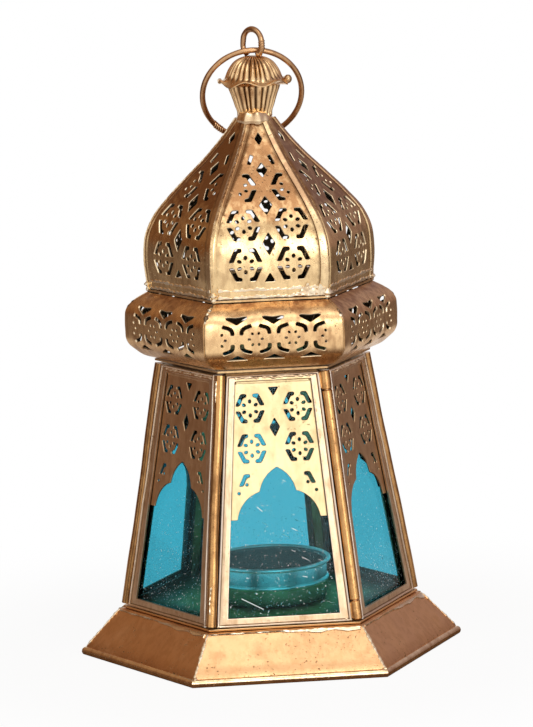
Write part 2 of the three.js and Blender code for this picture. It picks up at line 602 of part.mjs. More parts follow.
// Wire swept along a curve.
function wire(points, radius, steps) {
  const path = new THREE.CatmullRomCurve3(points.map((p) => new THREE.Vector3(...p)), false, 'centripetal');
  const section = new THREE.Shape(circle(radius, 6).map(([x, y]) => v2(x, y)));
  return closed(new THREE.ExtrudeGeometry(section, { extrudePath: path, steps, bevelEnabled: false }));
}

// Eye whose feet are drawn in where they are soldered to the cap.
function hangingLoop() {
  const [h, foot, middle] = [LOOP_HALF, CAP_TOP_Z + LOOP_WIRE * 0.2, LOOP_TOP_Z - LOOP_HALF];
  const arc = Array.from({ length: 7 }, (_, i) => Math.PI * (i / 6));
  return wire([[0.6 * h, 0, foot], [h, 0, foot + 2 * LOOP_WIRE],
    ...arc.map((a) => [h * Math.cos(a), 0, middle + h * Math.sin(a)]),
    [-h, 0, foot + 2 * LOOP_WIRE], [-0.6 * h, 0, foot]], LOOP_WIRE, 16);
}

add('finial_cup', finialCup(), brass());
add('finial_cap', finialCap(), brass());
const loop = add('hanging_loop', hangingLoop(), brass());
loop.rotation.z = -LOOP_TURN;

const ring = add('carrying_ring', closed(new THREE.TorusGeometry(RING_RADIUS, RING_WIRE, 6, 24)), brass());
ring.position.set(0, RING_RADIUS * Math.sin(RING_LEAN), RING_PIVOT_Z - RING_RADIUS * Math.cos(RING_LEAN));
ring.rotation.x = Math.PI / 2 + RING_LEAN;

export default lantern;
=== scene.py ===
# A hexagonal table lantern in thin, aged sheet brass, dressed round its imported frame.
# Shapes are worked out in millimetres and become metres as each piece is made. +Z is up, and the
# door faces -Y.

import bpy
import numpy as np
from mathutils.geometry import delaunay_2d_cdt
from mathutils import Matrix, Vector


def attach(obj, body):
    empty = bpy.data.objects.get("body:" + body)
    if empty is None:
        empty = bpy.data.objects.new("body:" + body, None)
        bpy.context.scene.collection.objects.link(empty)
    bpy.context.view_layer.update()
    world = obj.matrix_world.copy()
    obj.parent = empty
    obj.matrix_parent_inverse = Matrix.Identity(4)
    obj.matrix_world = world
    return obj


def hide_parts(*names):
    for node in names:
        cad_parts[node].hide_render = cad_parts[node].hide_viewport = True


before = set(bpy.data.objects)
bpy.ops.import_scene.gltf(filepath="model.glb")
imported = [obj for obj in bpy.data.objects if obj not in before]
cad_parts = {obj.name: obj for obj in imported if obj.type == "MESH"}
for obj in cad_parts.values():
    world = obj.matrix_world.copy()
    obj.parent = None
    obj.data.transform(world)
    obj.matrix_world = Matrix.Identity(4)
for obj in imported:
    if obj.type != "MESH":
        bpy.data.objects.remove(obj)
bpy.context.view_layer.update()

# The view is through a long lens, from a little above the lantern and a few degrees to its left. The
# camera is tipped a little to its side, so the lantern leans in the picture.

scene = bpy.context.scene
scene.view_settings.view_transform = "Standard"

AIM = np.array([0.0, 0.0, 0.1226])
DISTANCE = 1.7198
AZIMUTH, ELEVATION, ROLL = np.radians([-5.7, 9.6, -1.9])
BACK = np.array([np.sin(AZIMUTH) * np.cos(ELEVATION), -np.cos(AZIMUTH) * np.cos(ELEVATION),
                 np.sin(ELEVATION)])

camera = bpy.data.objects.new("camera", bpy.data.cameras.new("camera"))
scene.collection.objects.link(camera)
scene.camera = camera
camera.location = AIM + BACK * DISTANCE
level = np.cross((0, 0, 1), BACK)
level /= np.linalg.norm(level)
rolled = np.cos(ROLL) * level + np.sin(ROLL) * np.cross(BACK, level)
camera.rotation_mode = "QUATERNION"
camera.rotation_quaternion = Matrix(np.stack([rolled, np.cross(BACK, rolled), BACK], 1)).to_quaternion()
camera.data.lens = 223.4
camera.data.shift_x = 0.0064
camera.data.shift_y = -0.0455
camera.data.clip_end = 100.0

# The light is two soft lamps in a room that is bright in front and overhead and dim at the sides, as
# the sheet metal shows it. The camera and the glass see that room as white.


class Value:
    """A number that varies over a surface: arithmetic on it adds the Math nodes of its finish."""

    def __init__(self, finish, socket):
        self.finish = finish
        self.socket = socket

    def math(self, operation, *others):
        """What the Math node of that operation makes of it and the others."""
        return self.finish.node("Math", {"operation": operation}, self, *others)

    def __add__(self, other):
        return self.math("ADD", other)

    def __sub__(self, other):
        return self.math("SUBTRACT", other)

    def __rsub__(self, other):
        return self.finish.node("Math", {"operation": "SUBTRACT"}, other, self)

    def __mul__(self, other):
        return self.math("MULTIPLY", other)

    __radd__, __rmul__ = __add__, __mul__

    def most(self, other):
        """The larger of the two."""
        return self.math("MAXIMUM", other)

    def rise(self, low, high):
        """0 below low, 1 above high, and a smooth step between them."""
        return self.finish.node("MapRange", {"interpolation_type": "SMOOTHSTEP"}, self, low, high, 0.0, 1.0)


class Finish:
    """A node tree being written, for a material or for the room."""

    def __init__(self, owner):
        owner.use_nodes = True
        self.tree = owner.node_tree
        self.tree.nodes.clear()

    def node(self, kind, settings=None, *values, out=0, **named):
        """Adds a node, sets its settings, then its sockets: values in order, or named ones. A colour
        is three numbers, and gets its alpha of 1 here."""
        node = self.tree.nodes.new("ShaderNode" + kind)
        for name, setting in (settings or {}).items():
            setattr(node, name, setting)
        sockets = [socket for socket in node.inputs if socket.enabled]
        fed = [*zip(sockets, values)]
        fed += [(node.inputs[name.replace("_", " ")], value) for name, value in named.items()]
        for socket, value in fed:
            if isinstance(value, Value):
                self.tree.links.new(value.socket, socket)
            else:
                socket.default_value = (*value, 1.0) if socket.type == "RGBA" else value
        made = [socket for socket in node.outputs if socket.enabled]
        if not made:
            return None
        return Value(self, node.outputs[out] if isinstance(out, str) else made[out])

    def mark(self, name):
        """What a piece's mark of that name says."""
        return self.node("Attribute", {"attribute_name": name}, out="Fac")

    def part(self, axis, where):
        """One coordinate of a place or a direction."""
        return self.node("SeparateXYZ", None, where, out=axis)

    def direct(self):
        """1 where the camera looks, straight or through the glass."""
        straight = self.node("LightPath", out="Is Camera Ray")
        return straight.most(self.node("LightPath", out="Is Transmission Ray"))

    def colour(self, share, first, second):
        """The first colour where share is 0, and the second where it is 1."""
        return self.node("Mix", {"data_type": "RGBA"}, share, first, second)

    def noise(self, where, scale, detail=2.0, stretch=(1, 1, 1), distortion=0.0):
        """Cloudy noise about 0.5, scale clouds to the metre, drawn out by stretch."""
        place = self.node("Mapping", None, Vector=where, Scale=tuple(scale * s for s in stretch))
        return self.node("TexNoise", None, Vector=place, Scale=1.0, Detail=detail, Distortion=distortion)


def lamp(name, place, size, power):
    """A square soft lamp that faces the lantern."""
    light = bpy.data.lights.new(name, "AREA")
    light.size = size
    light.energy = power
    made = bpy.data.objects.new(name, light)
    scene.collection.objects.link(made)
    made.location = place
    made.rotation_mode = "QUATERNION"
    made.rotation_quaternion = (Vector(place) - Vector(AIM)).to_track_quat("Z", "Y")


lamp("front_softbox", (0.45, -1.6, 0.6), 0.9, 6.0)
lamp("overhead_softbox", (0.05, -0.6, 1.6), 0.8, 2.8)

scene.world = bpy.data.worlds.new("studio")
room = Finish(scene.world)
facing = room.node("TexCoord", out="Generated")
ahead = room.part("Y", facing) * -1.0
to_right = room.part("X", facing).rise(-0.3, 0.3)
overhead = room.part("Z", facing)
low_light = room.colour(to_right, (0.15, 0.066, 0.03), (0.29, 0.2, 0.19))
high_light = room.colour(to_right, (0.33, 0.195, 0.11), (0.46, 0.38, 0.4))
light = room.colour(overhead.rise(0.05, 0.5), low_light, high_light)
light = room.colour(overhead.rise(0.6, 0.95), light, (0.5, 0.42, 0.36))
light = room.colour(ahead.rise(0.05, 0.5), light, (1.08, 1.08, 1.06))
light = room.colour((ahead * -1.0).rise(0.86, 0.98), light, (0.9, 0.9, 0.9))
dim = room.node("Background", None, light, 1.0)
white = room.node("Background", None, (1.0, 1.0, 1.0), 1.0)
room.node("OutputWorld", None, room.node("MixShader", None, room.direct(), dim, white))

# The lantern stands on plain white paper, which fades into the white of the room a little way off and
# keeps the soft shadow beside it. In the metal's reflections the paper near the lantern takes a painted
# brown shade and is painted darker to the sides, and farther off, most of all ahead, it glows as part of
# the room's light.

FLOOR_REACH = 9.0
floor_mesh = bpy.data.meshes.new("floor")
floor_corners = [(x * FLOOR_REACH, y * FLOOR_REACH, 0) for x, y in ((-1, -1), (1, -1), (1, 1), (-1, 1))]
floor_mesh.from_pydata(floor_corners, [], [(0, 1, 2, 3)])
floor = bpy.data.objects.new("floor", floor_mesh)
scene.collection.objects.link(floor)
floor_mesh.materials.append(bpy.data.materials.new("white_paper"))
paper = Finish(floor_mesh.materials[0])
spot = paper.node("TexCoord", out="Object")
far = paper.node("VectorMath", {"operation": "LENGTH"}, spot, out="Value")
aside = paper.part("X", spot).math("ABSOLUTE")
before = (paper.part("Y", spot) * -1.0).math("DIVIDE", far)
before = before.rise(0.1, 0.5).most((before * -1.0).rise(0.8, 0.95))
mirrored = paper.node("LightPath", out="Is Glossy Ray")
shown = paper.direct() * (0.91 + far.rise(0.09, 0.22) * 0.09)
shown = shown + mirrored * far.rise(0.13, 0.4) * (0.05 + before * 0.7)
# Painted shade: near the lantern and to the sides the paper is dark for the metal's reflections.
paper_painted_shade = paper.colour(mirrored * (1.0 - far.rise(0.08, 0.28)), (0.85, 0.85, 0.85), (0.16, 0.09, 0.05))
paper_painted_shade = paper.colour(aside.rise(0.15, 0.5), paper_painted_shade, (0.17, 0.12, 0.095))
lit = paper.node("BsdfDiffuse", None, paper_painted_shade)
glow = paper.node("Emission", None, (1.0, 1.0, 1.0), 1.0)
paper.node("OutputMaterial", None, paper.node("MixShader", None, shown, lit, glow))

# The base rim is a brass wire bead rolled round the foot of the base. It is mitred and soldered at its
# six corners and worn flat underneath.


def tubular(rows, columns, ring=False):
    """Faces of rows of points that each close on themselves. A ring's last row meets its first, and
    any other shell has a cap at both ends."""
    row, column = np.meshgrid(np.arange(rows if ring else rows - 1), np.arange(columns), indexing="ij")
    row, column = row.ravel(), column.ravel()
    above, beside = (row + 1) % rows, (column + 1) % columns
    skin = np.stack([row * columns + column, row * columns + beside,
                     above * columns + beside, above * columns + column], -1)
    if ring:
        return [skin]
    cap = np.arange(columns)[None]
    return [skin, cap[:, ::-1], (rows - 1) * columns + cap]


def joined(*shells):
    """Closed shells, each of points and lists of faces, as one, all facing outwards.

    A shell's volume is a sixth of the sum of a . (b x c) over its triangles. Where that is
    negative its faces are turned over.
    """
    points, groups, start = [], [], 0
    for shell, faces in shells:
        volume = 0.0
        for group in faces:
            a, *others = shell[group].transpose(1, 0, 2)
            volume += sum(np.einsum("ij,ij", a, np.cross(b, c)) for b, c in zip(others, others[1:]))
        points.append(shell)
        groups += [(group if volume > 0 else group[:, ::-1]) + start for group in faces]
        start += len(shell)
    return np.concatenate(points), groups


def piece(name, shell, finish, stands_for=(), body="lantern", metal="brass", crease=35.0, **marks):
    """Makes a piece of a shell in millimetres; marks are attributes of its points."""
    points, groups = joined(shell)
    sides = np.concatenate([np.full(len(group), group.shape[1]) for group in groups])
    mesh = bpy.data.meshes.new(name)
    mesh.vertices.add(len(points))
    mesh.vertices.foreach_set("co", (points * 0.001).ravel())
    corners = np.concatenate([group.ravel() for group in groups])
    mesh.loops.add(len(corners))
    mesh.loops.foreach_set("vertex_index", corners.astype(np.int32))
    mesh.polygons.add(len(sides))
    mesh.polygons.foreach_set("loop_start", (np.cumsum(sides) - sides).astype(np.int32))
    mesh.update(calc_edges=True)
    mesh.shade_smooth()
    mesh.set_sharp_from_angle(angle=np.radians(crease))
    for mark, values in marks.items():
        layer = mesh.attributes.new(mark, "FLOAT", "POINT")
        layer.data.foreach_set("value", values.astype(np.float32))
    mesh.materials.append(finish)
    made = bpy.data.objects.new(name, mesh)
    scene.collection.objects.link(made)
    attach(made, body)
    if stands_for:
        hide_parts(*stands_for)


def turned(points, sixths):
    """Points turned about the lantern's axis, by sixths of a turn."""
    angle = sixths * np.pi / 3
    c, s = np.cos(angle), np.sin(angle)
    return points @ np.array([[c, s, 0], [-s, c, 0], [0, 0, 1]])


def around(shell, sixths):
    """A shell turned about the lantern's axis, by sixths of a turn."""
    return turned(shell[0], sixths), shell[1]


def waver(t, seed, *waves):
    """An uneven wave of t within about 1: a mean of sines of unlike lengths and seeded starts."""
    starts = np.random.default_rng(seed).uniform(0, 2 * np.pi, len(waves))
    return sum(np.sin(wave * t + start) for wave, start in zip(waves, starts)) / len(waves) ** 0.5


COS_SIDE = np.cos(np.pi / 6)


def hexagon(profile, steps=30, wobble=0.0, seed=1):
    """Carries a closed profile of (corner radius, height) round six mitred sides.

    Along a side, share p runs from -1 to 1, x is p r / 2 and y is -r cos 30, and the side is turned
    by a sixth each time. The wobble is an uneven wave of y and z along it, nil at its corners.
    """
    radius, height = np.asarray(profile, float).T
    share = np.linspace(-1, 1, steps + 1)[:-1, None]
    sides = []
    for side in range(6):
        wave = wobble * (1 - share ** 2) * waver(share, seed + side, 2.1, 5.3, 11.7)
        points = np.stack([share * radius / 2, -radius * COS_SIDE + wave, height + 0.4 * wave], -1)
        sides.append(turned(points.reshape(-1, 3), side))
    return np.concatenate(sides), tubular(6 * steps, len(radius), ring=True)


def brass(name, tone, shade, rough=0.32, brushed=0.5, spots=0.5, dents=0.5, darker_heights=None, soiled=None,
          patchy=1.0, edge_shine_and_shade=(1.0, 0.84, 0.6)):
    """Aged sheet brass: a bright tone clouded by a shade, brushed, spotted, dented and lacquered.

    The marks of a piece add to it: edge is 1 at an edge, which takes the finish's edge colour, a painted
    highlight on most finishes and a painted shade on the plates and the dull solder. Inside is 1 on the
    unpolished inner face, which is dull and painted near black as the shade within, and the mark for
    painted shade is 1 in grooves, valleys, steps, gaps and on knobs, which it paints dark. From the first
    to the second of the heights where it darkens, in metres, the shade colour takes over, from the third
    to the fourth it fades out again, and below the soiled heights the brass is spotted more.
    """
    material = bpy.data.materials.new(name)
    finish = Finish(material)
    at = finish.node("TexCoord", out="Object")
    edge = finish.mark("edge")
    inside = finish.mark("inside")
    grime = finish.mark("grime")
    up = finish.part("Z", at)
    clouds = finish.noise(at, 38.0, 4.0, distortion=0.6).rise(0.35, 0.7)
    mottle = finish.noise(at, 420.0, 5.0, (1, 1, 0.5)).rise(0.36, 0.66)
    stains = finish.noise(at, 150.0, 5.0, (1, 1, 0.6)).rise(0.52, 0.7)
    lines = finish.noise(at, 1300.0, 3.0, (1, 1, 0.05))
    grain = finish.noise(at, 3000.0, 2.0)
    dirty = finish.noise(at, 70.0, 2.0).rise(0.42, 0.62)
    if soiled:
        dirty = dirty + (1.0 - up.rise(*soiled)) * 0.9
    pits = finish.noise(at, 1100.0, 2.0).rise(0.64, 0.71) * dirty
    shaded = (clouds * 0.4 + stains * 0.3) * patchy + mottle * 0.35 + (lines - 0.5) * 0.7 * brushed - 0.12
    if darker_heights:
        shaded = shaded + up.rise(*darker_heights[:2]) * (1.0 - up.rise(*darker_heights[2:])) * 0.9
    darker = tuple(c * 0.25 for c in shade)
    colour = finish.colour(shaded, tone, shade)
    colour = finish.colour(pits * spots, colour, darker)
    # Painted light and shade: edges take their painted highlight or shade, painted shade darkens grooves and
    # valleys, and inner faces are painted near black.
    colour = finish.colour(grime * 0.9, colour, (0.09, 0.04, 0.015))
    colour = finish.colour(edge * 0.9, colour, edge_shine_and_shade)
    colour = finish.colour(inside * 0.94, colour, (0.05, 0.035, 0.02))
    roughness = rough + clouds * 0.08 + stains * 0.1 + pits * 0.3
    roughness = roughness + inside * 0.35 + grime * 0.2 + (grain - 0.5) * 0.2
    relief = finish.noise(at, 55.0, 2.0) * dents + finish.noise(at, 230.0, 2.0) * 0.25 * dents
    relief = relief + lines * 0.05 * brushed + grain * 0.03 + mottle * 0.03 - pits * 0.15
    bumped = finish.node("Bump", None, Strength=0.6, Distance=0.0006, Height=relief)
    skin = finish.node("BsdfPrincipled", None, Base_Color=colour, Metallic=1.0 - inside * 0.5,
                       Roughness=roughness, Normal=bumped, Coat_Weight=0.08, Coat_Roughness=0.12)
    finish.node("OutputMaterial", None, skin)
    return material


rim_gold = brass("rim_gold", (1.0, 0.78, 0.5), (0.50, 0.26, 0.11), rough=0.14, dents=0.2)

RIM_CORNER, RIM_WIRE, RIM_FLAT = 71.9, 1.65, 0.3
rim_turn = np.linspace(-np.pi / 2, 1.5 * np.pi, 29)[:-1]
rim_height = np.maximum(RIM_WIRE - RIM_FLAT + RIM_WIRE * np.sin(rim_turn), 0.0)
rim_section = np.stack([RIM_CORNER + RIM_WIRE * np.cos(rim_turn), rim_height], 1)
piece("rim_bead", hexagon(rim_section, 40), rim_gold, ["base_rim"], metal="aged_brass")

# The base is folded from sheet: a slope up from the bead on each of its six sides, a rounded
# shoulder, and a level deck with a hole in it. The slopes meet in soldered seams.

SHEET, DECK_Z, DECK_HOLE = 0.7, 17.5, 47.0
base_gold = brass("base_gold", (0.77, 0.44, 0.215), (0.52, 0.26, 0.10), rough=0.3, spots=0.55,
                  soiled=(0.003, 0.007), patchy=0.25)
skirt_profile = [(71.7, 2.4), (71.5, 3.5), (68, 7.3), (64, 11.4), (60.2, 15.3), (59.3, 16.2), (58.8, 16.75),
                 (58.2, 17.15), (57.5, 17.4), (56.8, DECK_Z), (52, DECK_Z), (DECK_HOLE, DECK_Z),
                 (DECK_HOLE, 16.8), (56.6, 16.8), (58.2, 16.0), (64, 10.1), (70.57, 3.3), (70.7, 2.4)]
piece("skirt", hexagon(skirt_profile, 36, wobble=0.25, seed=11), base_gold, ["base_skirt"])


def rod(path, normal, wide, deep=None, sides=12, ring=False):
    """A wire along a path: wide cos a along T x N and deep sin a along N, for the path's direction T
    and its plane's normal N. Both radii may vary along it. An open one is capped at its ends."""
    path, normal = np.asarray(path, float), np.asarray(normal, float)
    forward = np.roll(path, -1, 0) - np.roll(path, 1, 0) if ring else np.gradient(path, axis=0)
    across = np.cross(forward, normal)
    across /= np.linalg.norm(across, axis=1, keepdims=True)
    wide = np.broadcast_to(wide, len(path))[:, None, None]
    deep = wide if deep is None else np.broadcast_to(deep, len(path))[:, None, None]
    turn = np.linspace(0, 2 * np.pi, sides + 1)[:-1, None]
    points = path[:, None] + wide * np.cos(turn) * across[:, None] + deep * np.sin(turn) * normal
    return points.reshape(-1, 3), tubular(len(path), sides, ring)


def lengths(line):
    """How far along a line each of its points lies: the sum of the steps up to it."""
    return np.concatenate([[0], np.cumsum(np.linalg.norm(np.diff(line, axis=0), axis=1))])


def points_along(line, reach):
    """The points of a line that lie at given lengths along it."""
    return np.stack([np.interp(reach, lengths(line), c) for c in line.T], 1)


def seam(ends, normal, wide, proud, seed, lumpy=0.45):
    """A solder seam along a path of two or more points: a rod whose radii swell and shrink unevenly
    and close at both ends."""
    ends = np.asarray(ends, float)
    whole = lengths(ends)[-1]
    reach = np.linspace(0, whole, max(12, int(whole / 0.5)))
    swell = 1 + lumpy * waver(reach, seed, 0.5, 1.3, 3.1)
    shut = np.clip(np.minimum(reach, whole - reach) / 0.8, 0.15, 1) ** 0.5
    swell = np.clip(swell, 0.25, 2) * shut
    return rod(points_along(ends, reach), normal, wide * swell, proud * swell, 8)


solder = brass("solder", (1.0, 0.88, 0.66), (0.86, 0.58, 0.32), rough=0.24, brushed=0.0, spots=0.3,
               edge_shine_and_shade=(0.26, 0.12, 0.05))
skirt_ridge = [(0, -71.4, 3.5), (0, -65, 10.3), (0, -59.5, 16.1), (0, -58.1, 17.1)]
skirt_seams = []
for corner in range(6):
    skirt_seams.append(around(seam(skirt_ridge, (1.0, 0, 0), 0.28, 0.5, 30 + corner), corner + 0.5))
for corner in (0, 5):
    lump = seam([(-1.3, -71.0, 2.0), (1.3, -71.0, 2.3)], (0, 0, 1.0), 1.5, 1.6, 50 + corner, 0.15)
    skirt_seams.append(around(lump, corner + 0.5))
piece("base_solder", joined(*skirt_seams), solder)

# The floor plate, the plate that carries the band and the one that carries the dome are flat
# hexagons of the same sheet. Only their edges show, and the dull top of the floor through the glass,
# which is painted near black as shade towards its rim while its lip takes a painted highlight.

plate_gold = brass("plate_gold", (0.84, 0.56, 0.28), (0.40, 0.20, 0.08), rough=0.3)
for flat_plate in ("collar_plate", "dome_ring", "hinge_pin"):
    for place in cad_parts[flat_plate].material_slots:
        place.material = plate_gold

FLOOR_FOOT_Z, FLOOR_TOP_Z = 17.8, 18.5
floor_edge = -min(corner[1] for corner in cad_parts["floor_plate"].bound_box) * 1000 / COS_SIDE
# Each row: corner radius, height, how bright a painted highlight it takes at the edge, and how dull and
# dark a painted shade.
floor_rows = np.array([
    (floor_edge - 0.15, FLOOR_FOOT_Z, 1, 0), (floor_edge, FLOOR_FOOT_Z + 0.2, 1, 0),
    (floor_edge, FLOOR_TOP_Z - 0.2, 1, 0), (floor_edge - 0.2, FLOOR_TOP_Z, 1, 0), (54.5, FLOOR_TOP_Z, 1, 0),
    (53.5, FLOOR_TOP_Z, 0, 0.97), (42, FLOOR_TOP_Z, 0, 0.85), (31, FLOOR_TOP_Z, 0, 0.1),
    (0.01, FLOOR_TOP_Z, 0, 0.1), (0.01, FLOOR_FOOT_Z, 0, 0.5)])
floor_gold = brass("floor_gold", (1.0, 0.78, 0.30), (0.62, 0.40, 0.12), rough=0.36, edge_shine_and_shade=(0.84, 0.5, 0.24))
piece("floor_sheet", hexagon(floor_rows[:, :2], 12), floor_gold, ["floor_plate"],
      edge=np.tile(floor_rows[:, 2], 72), inside=np.tile(floor_rows[:, 3], 72))

# The tealight cup is spun from thin metal, with a rolled rim and a raised bead round its wall, and
# stands loose in the middle of the floor.


def smooth_line(points, step):
    """A curve through the points, as points about step apart: between each two it is the cubic whose
    slopes at them are those of the parabola through three neighbours."""
    points = np.asarray(points, float)
    reach = lengths(points)
    slope = np.gradient(points, reach, axis=0)
    fine = np.linspace(0, reach[-1], 3000)
    i = np.clip(np.searchsorted(reach, fine, side="right") - 1, 0, len(reach) - 2)
    span = (reach[i + 1] - reach[i])[:, None]
    t = (fine - reach[i])[:, None] / span
    line = ((2 * t ** 3 - 3 * t ** 2 + 1) * points[i] + (t ** 3 - 2 * t ** 2 + t) * span * slope[i]
            + (3 * t ** 2 - 2 * t ** 3) * points[i + 1] + (t ** 3 - t ** 2) * span * slope[i + 1])
    whole = lengths(line)[-1]
    return points_along(line, np.linspace(0, whole, max(2, round(whole / step) + 1)))


def spun(radius, height, ring=False):
    """Turns rows of radii and heights about the axis, at angle a to x = r sin a and y = -r cos a; each
    row may vary with the angle. A ring's last row meets its first, and any other is capped."""
    radius, height = np.broadcast_arrays(radius, height)
    angle = np.linspace(0, 2 * np.pi, radius.shape[1] + 1)[:-1]
    points = np.stack([radius * np.sin(angle), -radius * np.cos(angle), height], -1)
    return points.reshape(-1, 3), tubular(*radius.shape, ring)


cup_metal = brass("cup_metal", (1.0, 0.97, 0.88), (0.85, 0.82, 0.72), rough=0.3, brushed=0.2, dents=0.02,
                  edge_shine_and_shade=(0.9, 0.72, 0.3))
CUP_RADIUS, CUP_FOOT_Z, CUP_TOP_Z, CUP_BEAD_Z, CUP_ROLL = 22.0, 18.8, 34.4, 26.4, 0.8
bend = np.linspace(-np.pi / 2, np.pi * 1.1, 11)
cup_rim = np.stack([CUP_RADIUS + CUP_ROLL * (1 + np.cos(bend)), CUP_TOP_Z + CUP_ROLL * (np.sin(bend) - 1)], 1)
swell = np.linspace(-np.pi / 2, np.pi / 2, 9)
cup_bead = np.stack([CUP_RADIUS + CUP_ROLL * np.cos(swell), CUP_BEAD_Z + 0.9 * np.sin(swell)], 1)
cup_profile = np.concatenate([
    [(3, CUP_FOOT_Z), (20.4, CUP_FOOT_Z), (21.3, CUP_FOOT_Z + 0.35), (21.85, CUP_FOOT_Z + 0.9),
     (CUP_RADIUS, CUP_FOOT_Z + 1.8)],
    cup_bead, [(CUP_RADIUS, 30), (CUP_RADIUS, 32.6)], cup_rim,
    [(21.2, 32.6), (21.2, 21.5), (21.0, 20.3), (20.4, 19.75), (19.4, 19.6), (3, 19.6)]])
oval = 1 + 0.006 * np.cos(2 * np.linspace(0, 2 * np.pi, 97)[:-1] + 0.6)
# Painted shade: the cup's underside and its inner wall and floor are marked inside and painted near black,
# and dark lines are painted low on its bead and on both sides of its rolled rim. The foot and the bead's
# lowest rows take the cup's yellower edge colour.
cup_dull_shade = np.zeros(len(cup_profile))
cup_dull_shade[:5] = 1.0, 1.0, 1.0, 0.95, 0.85
cup_dull_shade[-6:] = 0.85
cup_shade_lines = np.zeros(len(cup_profile))
cup_shade_lines[[6, 16, 26]] = 1.0, 0.8, 0.8
cup_foot = 1.0 * (np.arange(len(cup_profile)) < 7)
piece("spun_cup", spun(cup_profile[:, :1] * oval, cup_profile[:, 1:]), cup_metal, ["tealight_cup"],
      inside=np.repeat(cup_dull_shade, 96), grime=np.repeat(cup_shade_lines, 96), edge=np.repeat(cup_foot, 96))

# Six tapering sides stand between half-round corner beads of folded brass. Down each fixed bead a dark
# line is painted as the shade of a groove, with painted shade along its edge against the frame. The bead
# at the front right is a tube round the hinge pin.

BODY_FOOT_CORNER, BODY_HEAD_CORNER = 56.4, 40.0
BODY_FOOT_Z, BODY_HEAD_Z = 18.2, 112.9
FRAME_FOOT_Z, FRAME_HEAD_Z = 18.9, 112.0
POST_RADIUS, POST_INSET, POST_FOOT_Z = 2.0, 0.9, 19.3
KNUCKLE, BORE, AXIAL_GAP = 7.0, 1.05, 0.4
LEAN = np.arctan2((BODY_FOOT_CORNER - BODY_HEAD_CORNER) * COS_SIDE, BODY_HEAD_Z - BODY_FOOT_Z)
CORNER_LEAN = np.arctan2(BODY_FOOT_CORNER - BODY_HEAD_CORNER, BODY_HEAD_Z - BODY_FOOT_Z)
POST_RUN = (FRAME_HEAD_Z - POST_FOOT_Z) / np.cos(CORNER_LEAN)


def body_corner(z):
    """Corner radius of the tapering body at a height."""
    share = (z - BODY_FOOT_Z) / (BODY_HEAD_Z - BODY_FOOT_Z)
    return BODY_FOOT_CORNER + (BODY_HEAD_CORNER - BODY_FOOT_CORNER) * share


def at_corner(points, corner):
    """Stands points (across, inward, up) on a corner's leaning line, and turns them to that corner."""
    x, y, z = points.T
    c, s = np.cos(CORNER_LEAN), np.sin(CORNER_LEAN)
    out = body_corner(POST_FOOT_Z) - POST_INSET
    stood = np.stack([x, y * c + z * s - out, z * c - y * s + POST_FOOT_Z], 1)
    return turned(stood, corner + 0.5)


post_gold = brass("post_gold", (0.70, 0.38, 0.145), (0.24, 0.10, 0.035), rough=0.2, brushed=1.1, dents=0.9)
arc = np.linspace(np.pi, 2 * np.pi, 33)
bead_back = [(0.9, 0.3), (0.7, 0.45), (-0.7, 0.45), (-0.9, 0.3)]
bead_section = np.concatenate([np.stack([np.cos(arc), np.sin(arc)], 1), bead_back])
# Painted shade: a dark line down the bead for its groove, and darker along its edge against the frame.
bead_groove_shade = np.interp(np.arange(37), (0, 3, 25, 27, 28, 29, 37), (0.6, 0.1, 0, 0.9, 0.9, 0.2, 0.2))
run = np.linspace(0, POST_RUN, 41)
for corner, name in enumerate(("right", "back_right", "back_left", "left", "front_left"), 1):
    bulge = POST_RADIUS * (1 + 0.03 * waver(run / 10, 60 + corner, 1.0, 2.7))[:, None, None]
    rings = np.concatenate([bead_section * bulge, np.broadcast_to(run[:, None, None], (41, 37, 1))], -1)
    bent = np.stack([waver(run / 10, 70 + corner, 0.9), waver(run / 10, 80 + corner, 0.8)], -1)
    rings[:, :, :2] += 0.18 * bent[:, None]
    bead = at_corner(rings.reshape(-1, 3), corner), tubular(41, 37)
    piece("bead_" + name, bead, post_gold, ["post_" + name], grime=np.tile(bead_groove_shade, 41))


def tube(low, high):
    """A tube round the hinge line between two lengths along it, its outer edges rounded off."""
    wall = [(POST_RADIUS, reach) for reach in np.linspace(low + 1, high - 1, 8)]
    rows = np.array([(POST_RADIUS - 0.25, low), (POST_RADIUS, low + 0.25), *wall, (POST_RADIUS, high - 0.25),
                     (POST_RADIUS - 0.25, high), (BORE, high), (BORE, low)])
    points, faces = spun(np.broadcast_to(rows[:, :1], (len(rows), 24)), rows[:, 1:], ring=True)
    return at_corner(points, 0), faces


BEAD_END = KNUCKLE + AXIAL_GAP
piece("hinge_bead", tube(BEAD_END, POST_RUN - BEAD_END), post_gold, ["post_front_right"])

# Behind each bead a flat strip closes the corner from inside, and a narrow one runs round behind the
# frames' heads. Both are cut from the sheet of the plates and show through the glass.

strip = [(-1.8, 4.8), (1.8, 4.8), (1.8, 5.3), (-1.8, 5.3)]
strip_ends = np.concatenate([np.insert(strip, 2, height, axis=1) for height in (0.0, POST_RUN)])
inner_strips = [(at_corner(strip_ends, corner), tubular(2, 4)) for corner in range(6)]
inner_strips.append(hexagon([(34.2, 110.8), (34.2, 113.2), (33.6, 113.2), (33.6, 110.8)], 6))
piece("inner_corner_strips", joined(*inner_strips), plate_gold)

# Each side has a frame folded from brass strip into a channel: a raised ridge round its edge, painted
# bright as a highlight, a flat face, a side wall, and a lip that holds the glass. The front one is the door.

EDGE_SETBACK, RAIL_FOOT, RAIL_HEAD, STILE_FOOT, STILE_HEAD = 2.75, 3.2, 2.4, 4.1, 3.2
CHANNEL_BACK, CHANNEL_LIP = 4.5, 2.2
SIDES = ("front", "front_right", "back_right", "back", "back_left", "front_left")


def on_face(x, z, out):
    """A point of the front side: x across, z up, and out from its leaning face."""
    x, z, out = np.broadcast_arrays(x, z, out)
    return np.stack([x, -body_corner(z) * COS_SIDE - out / np.cos(LEAN), z], -1)


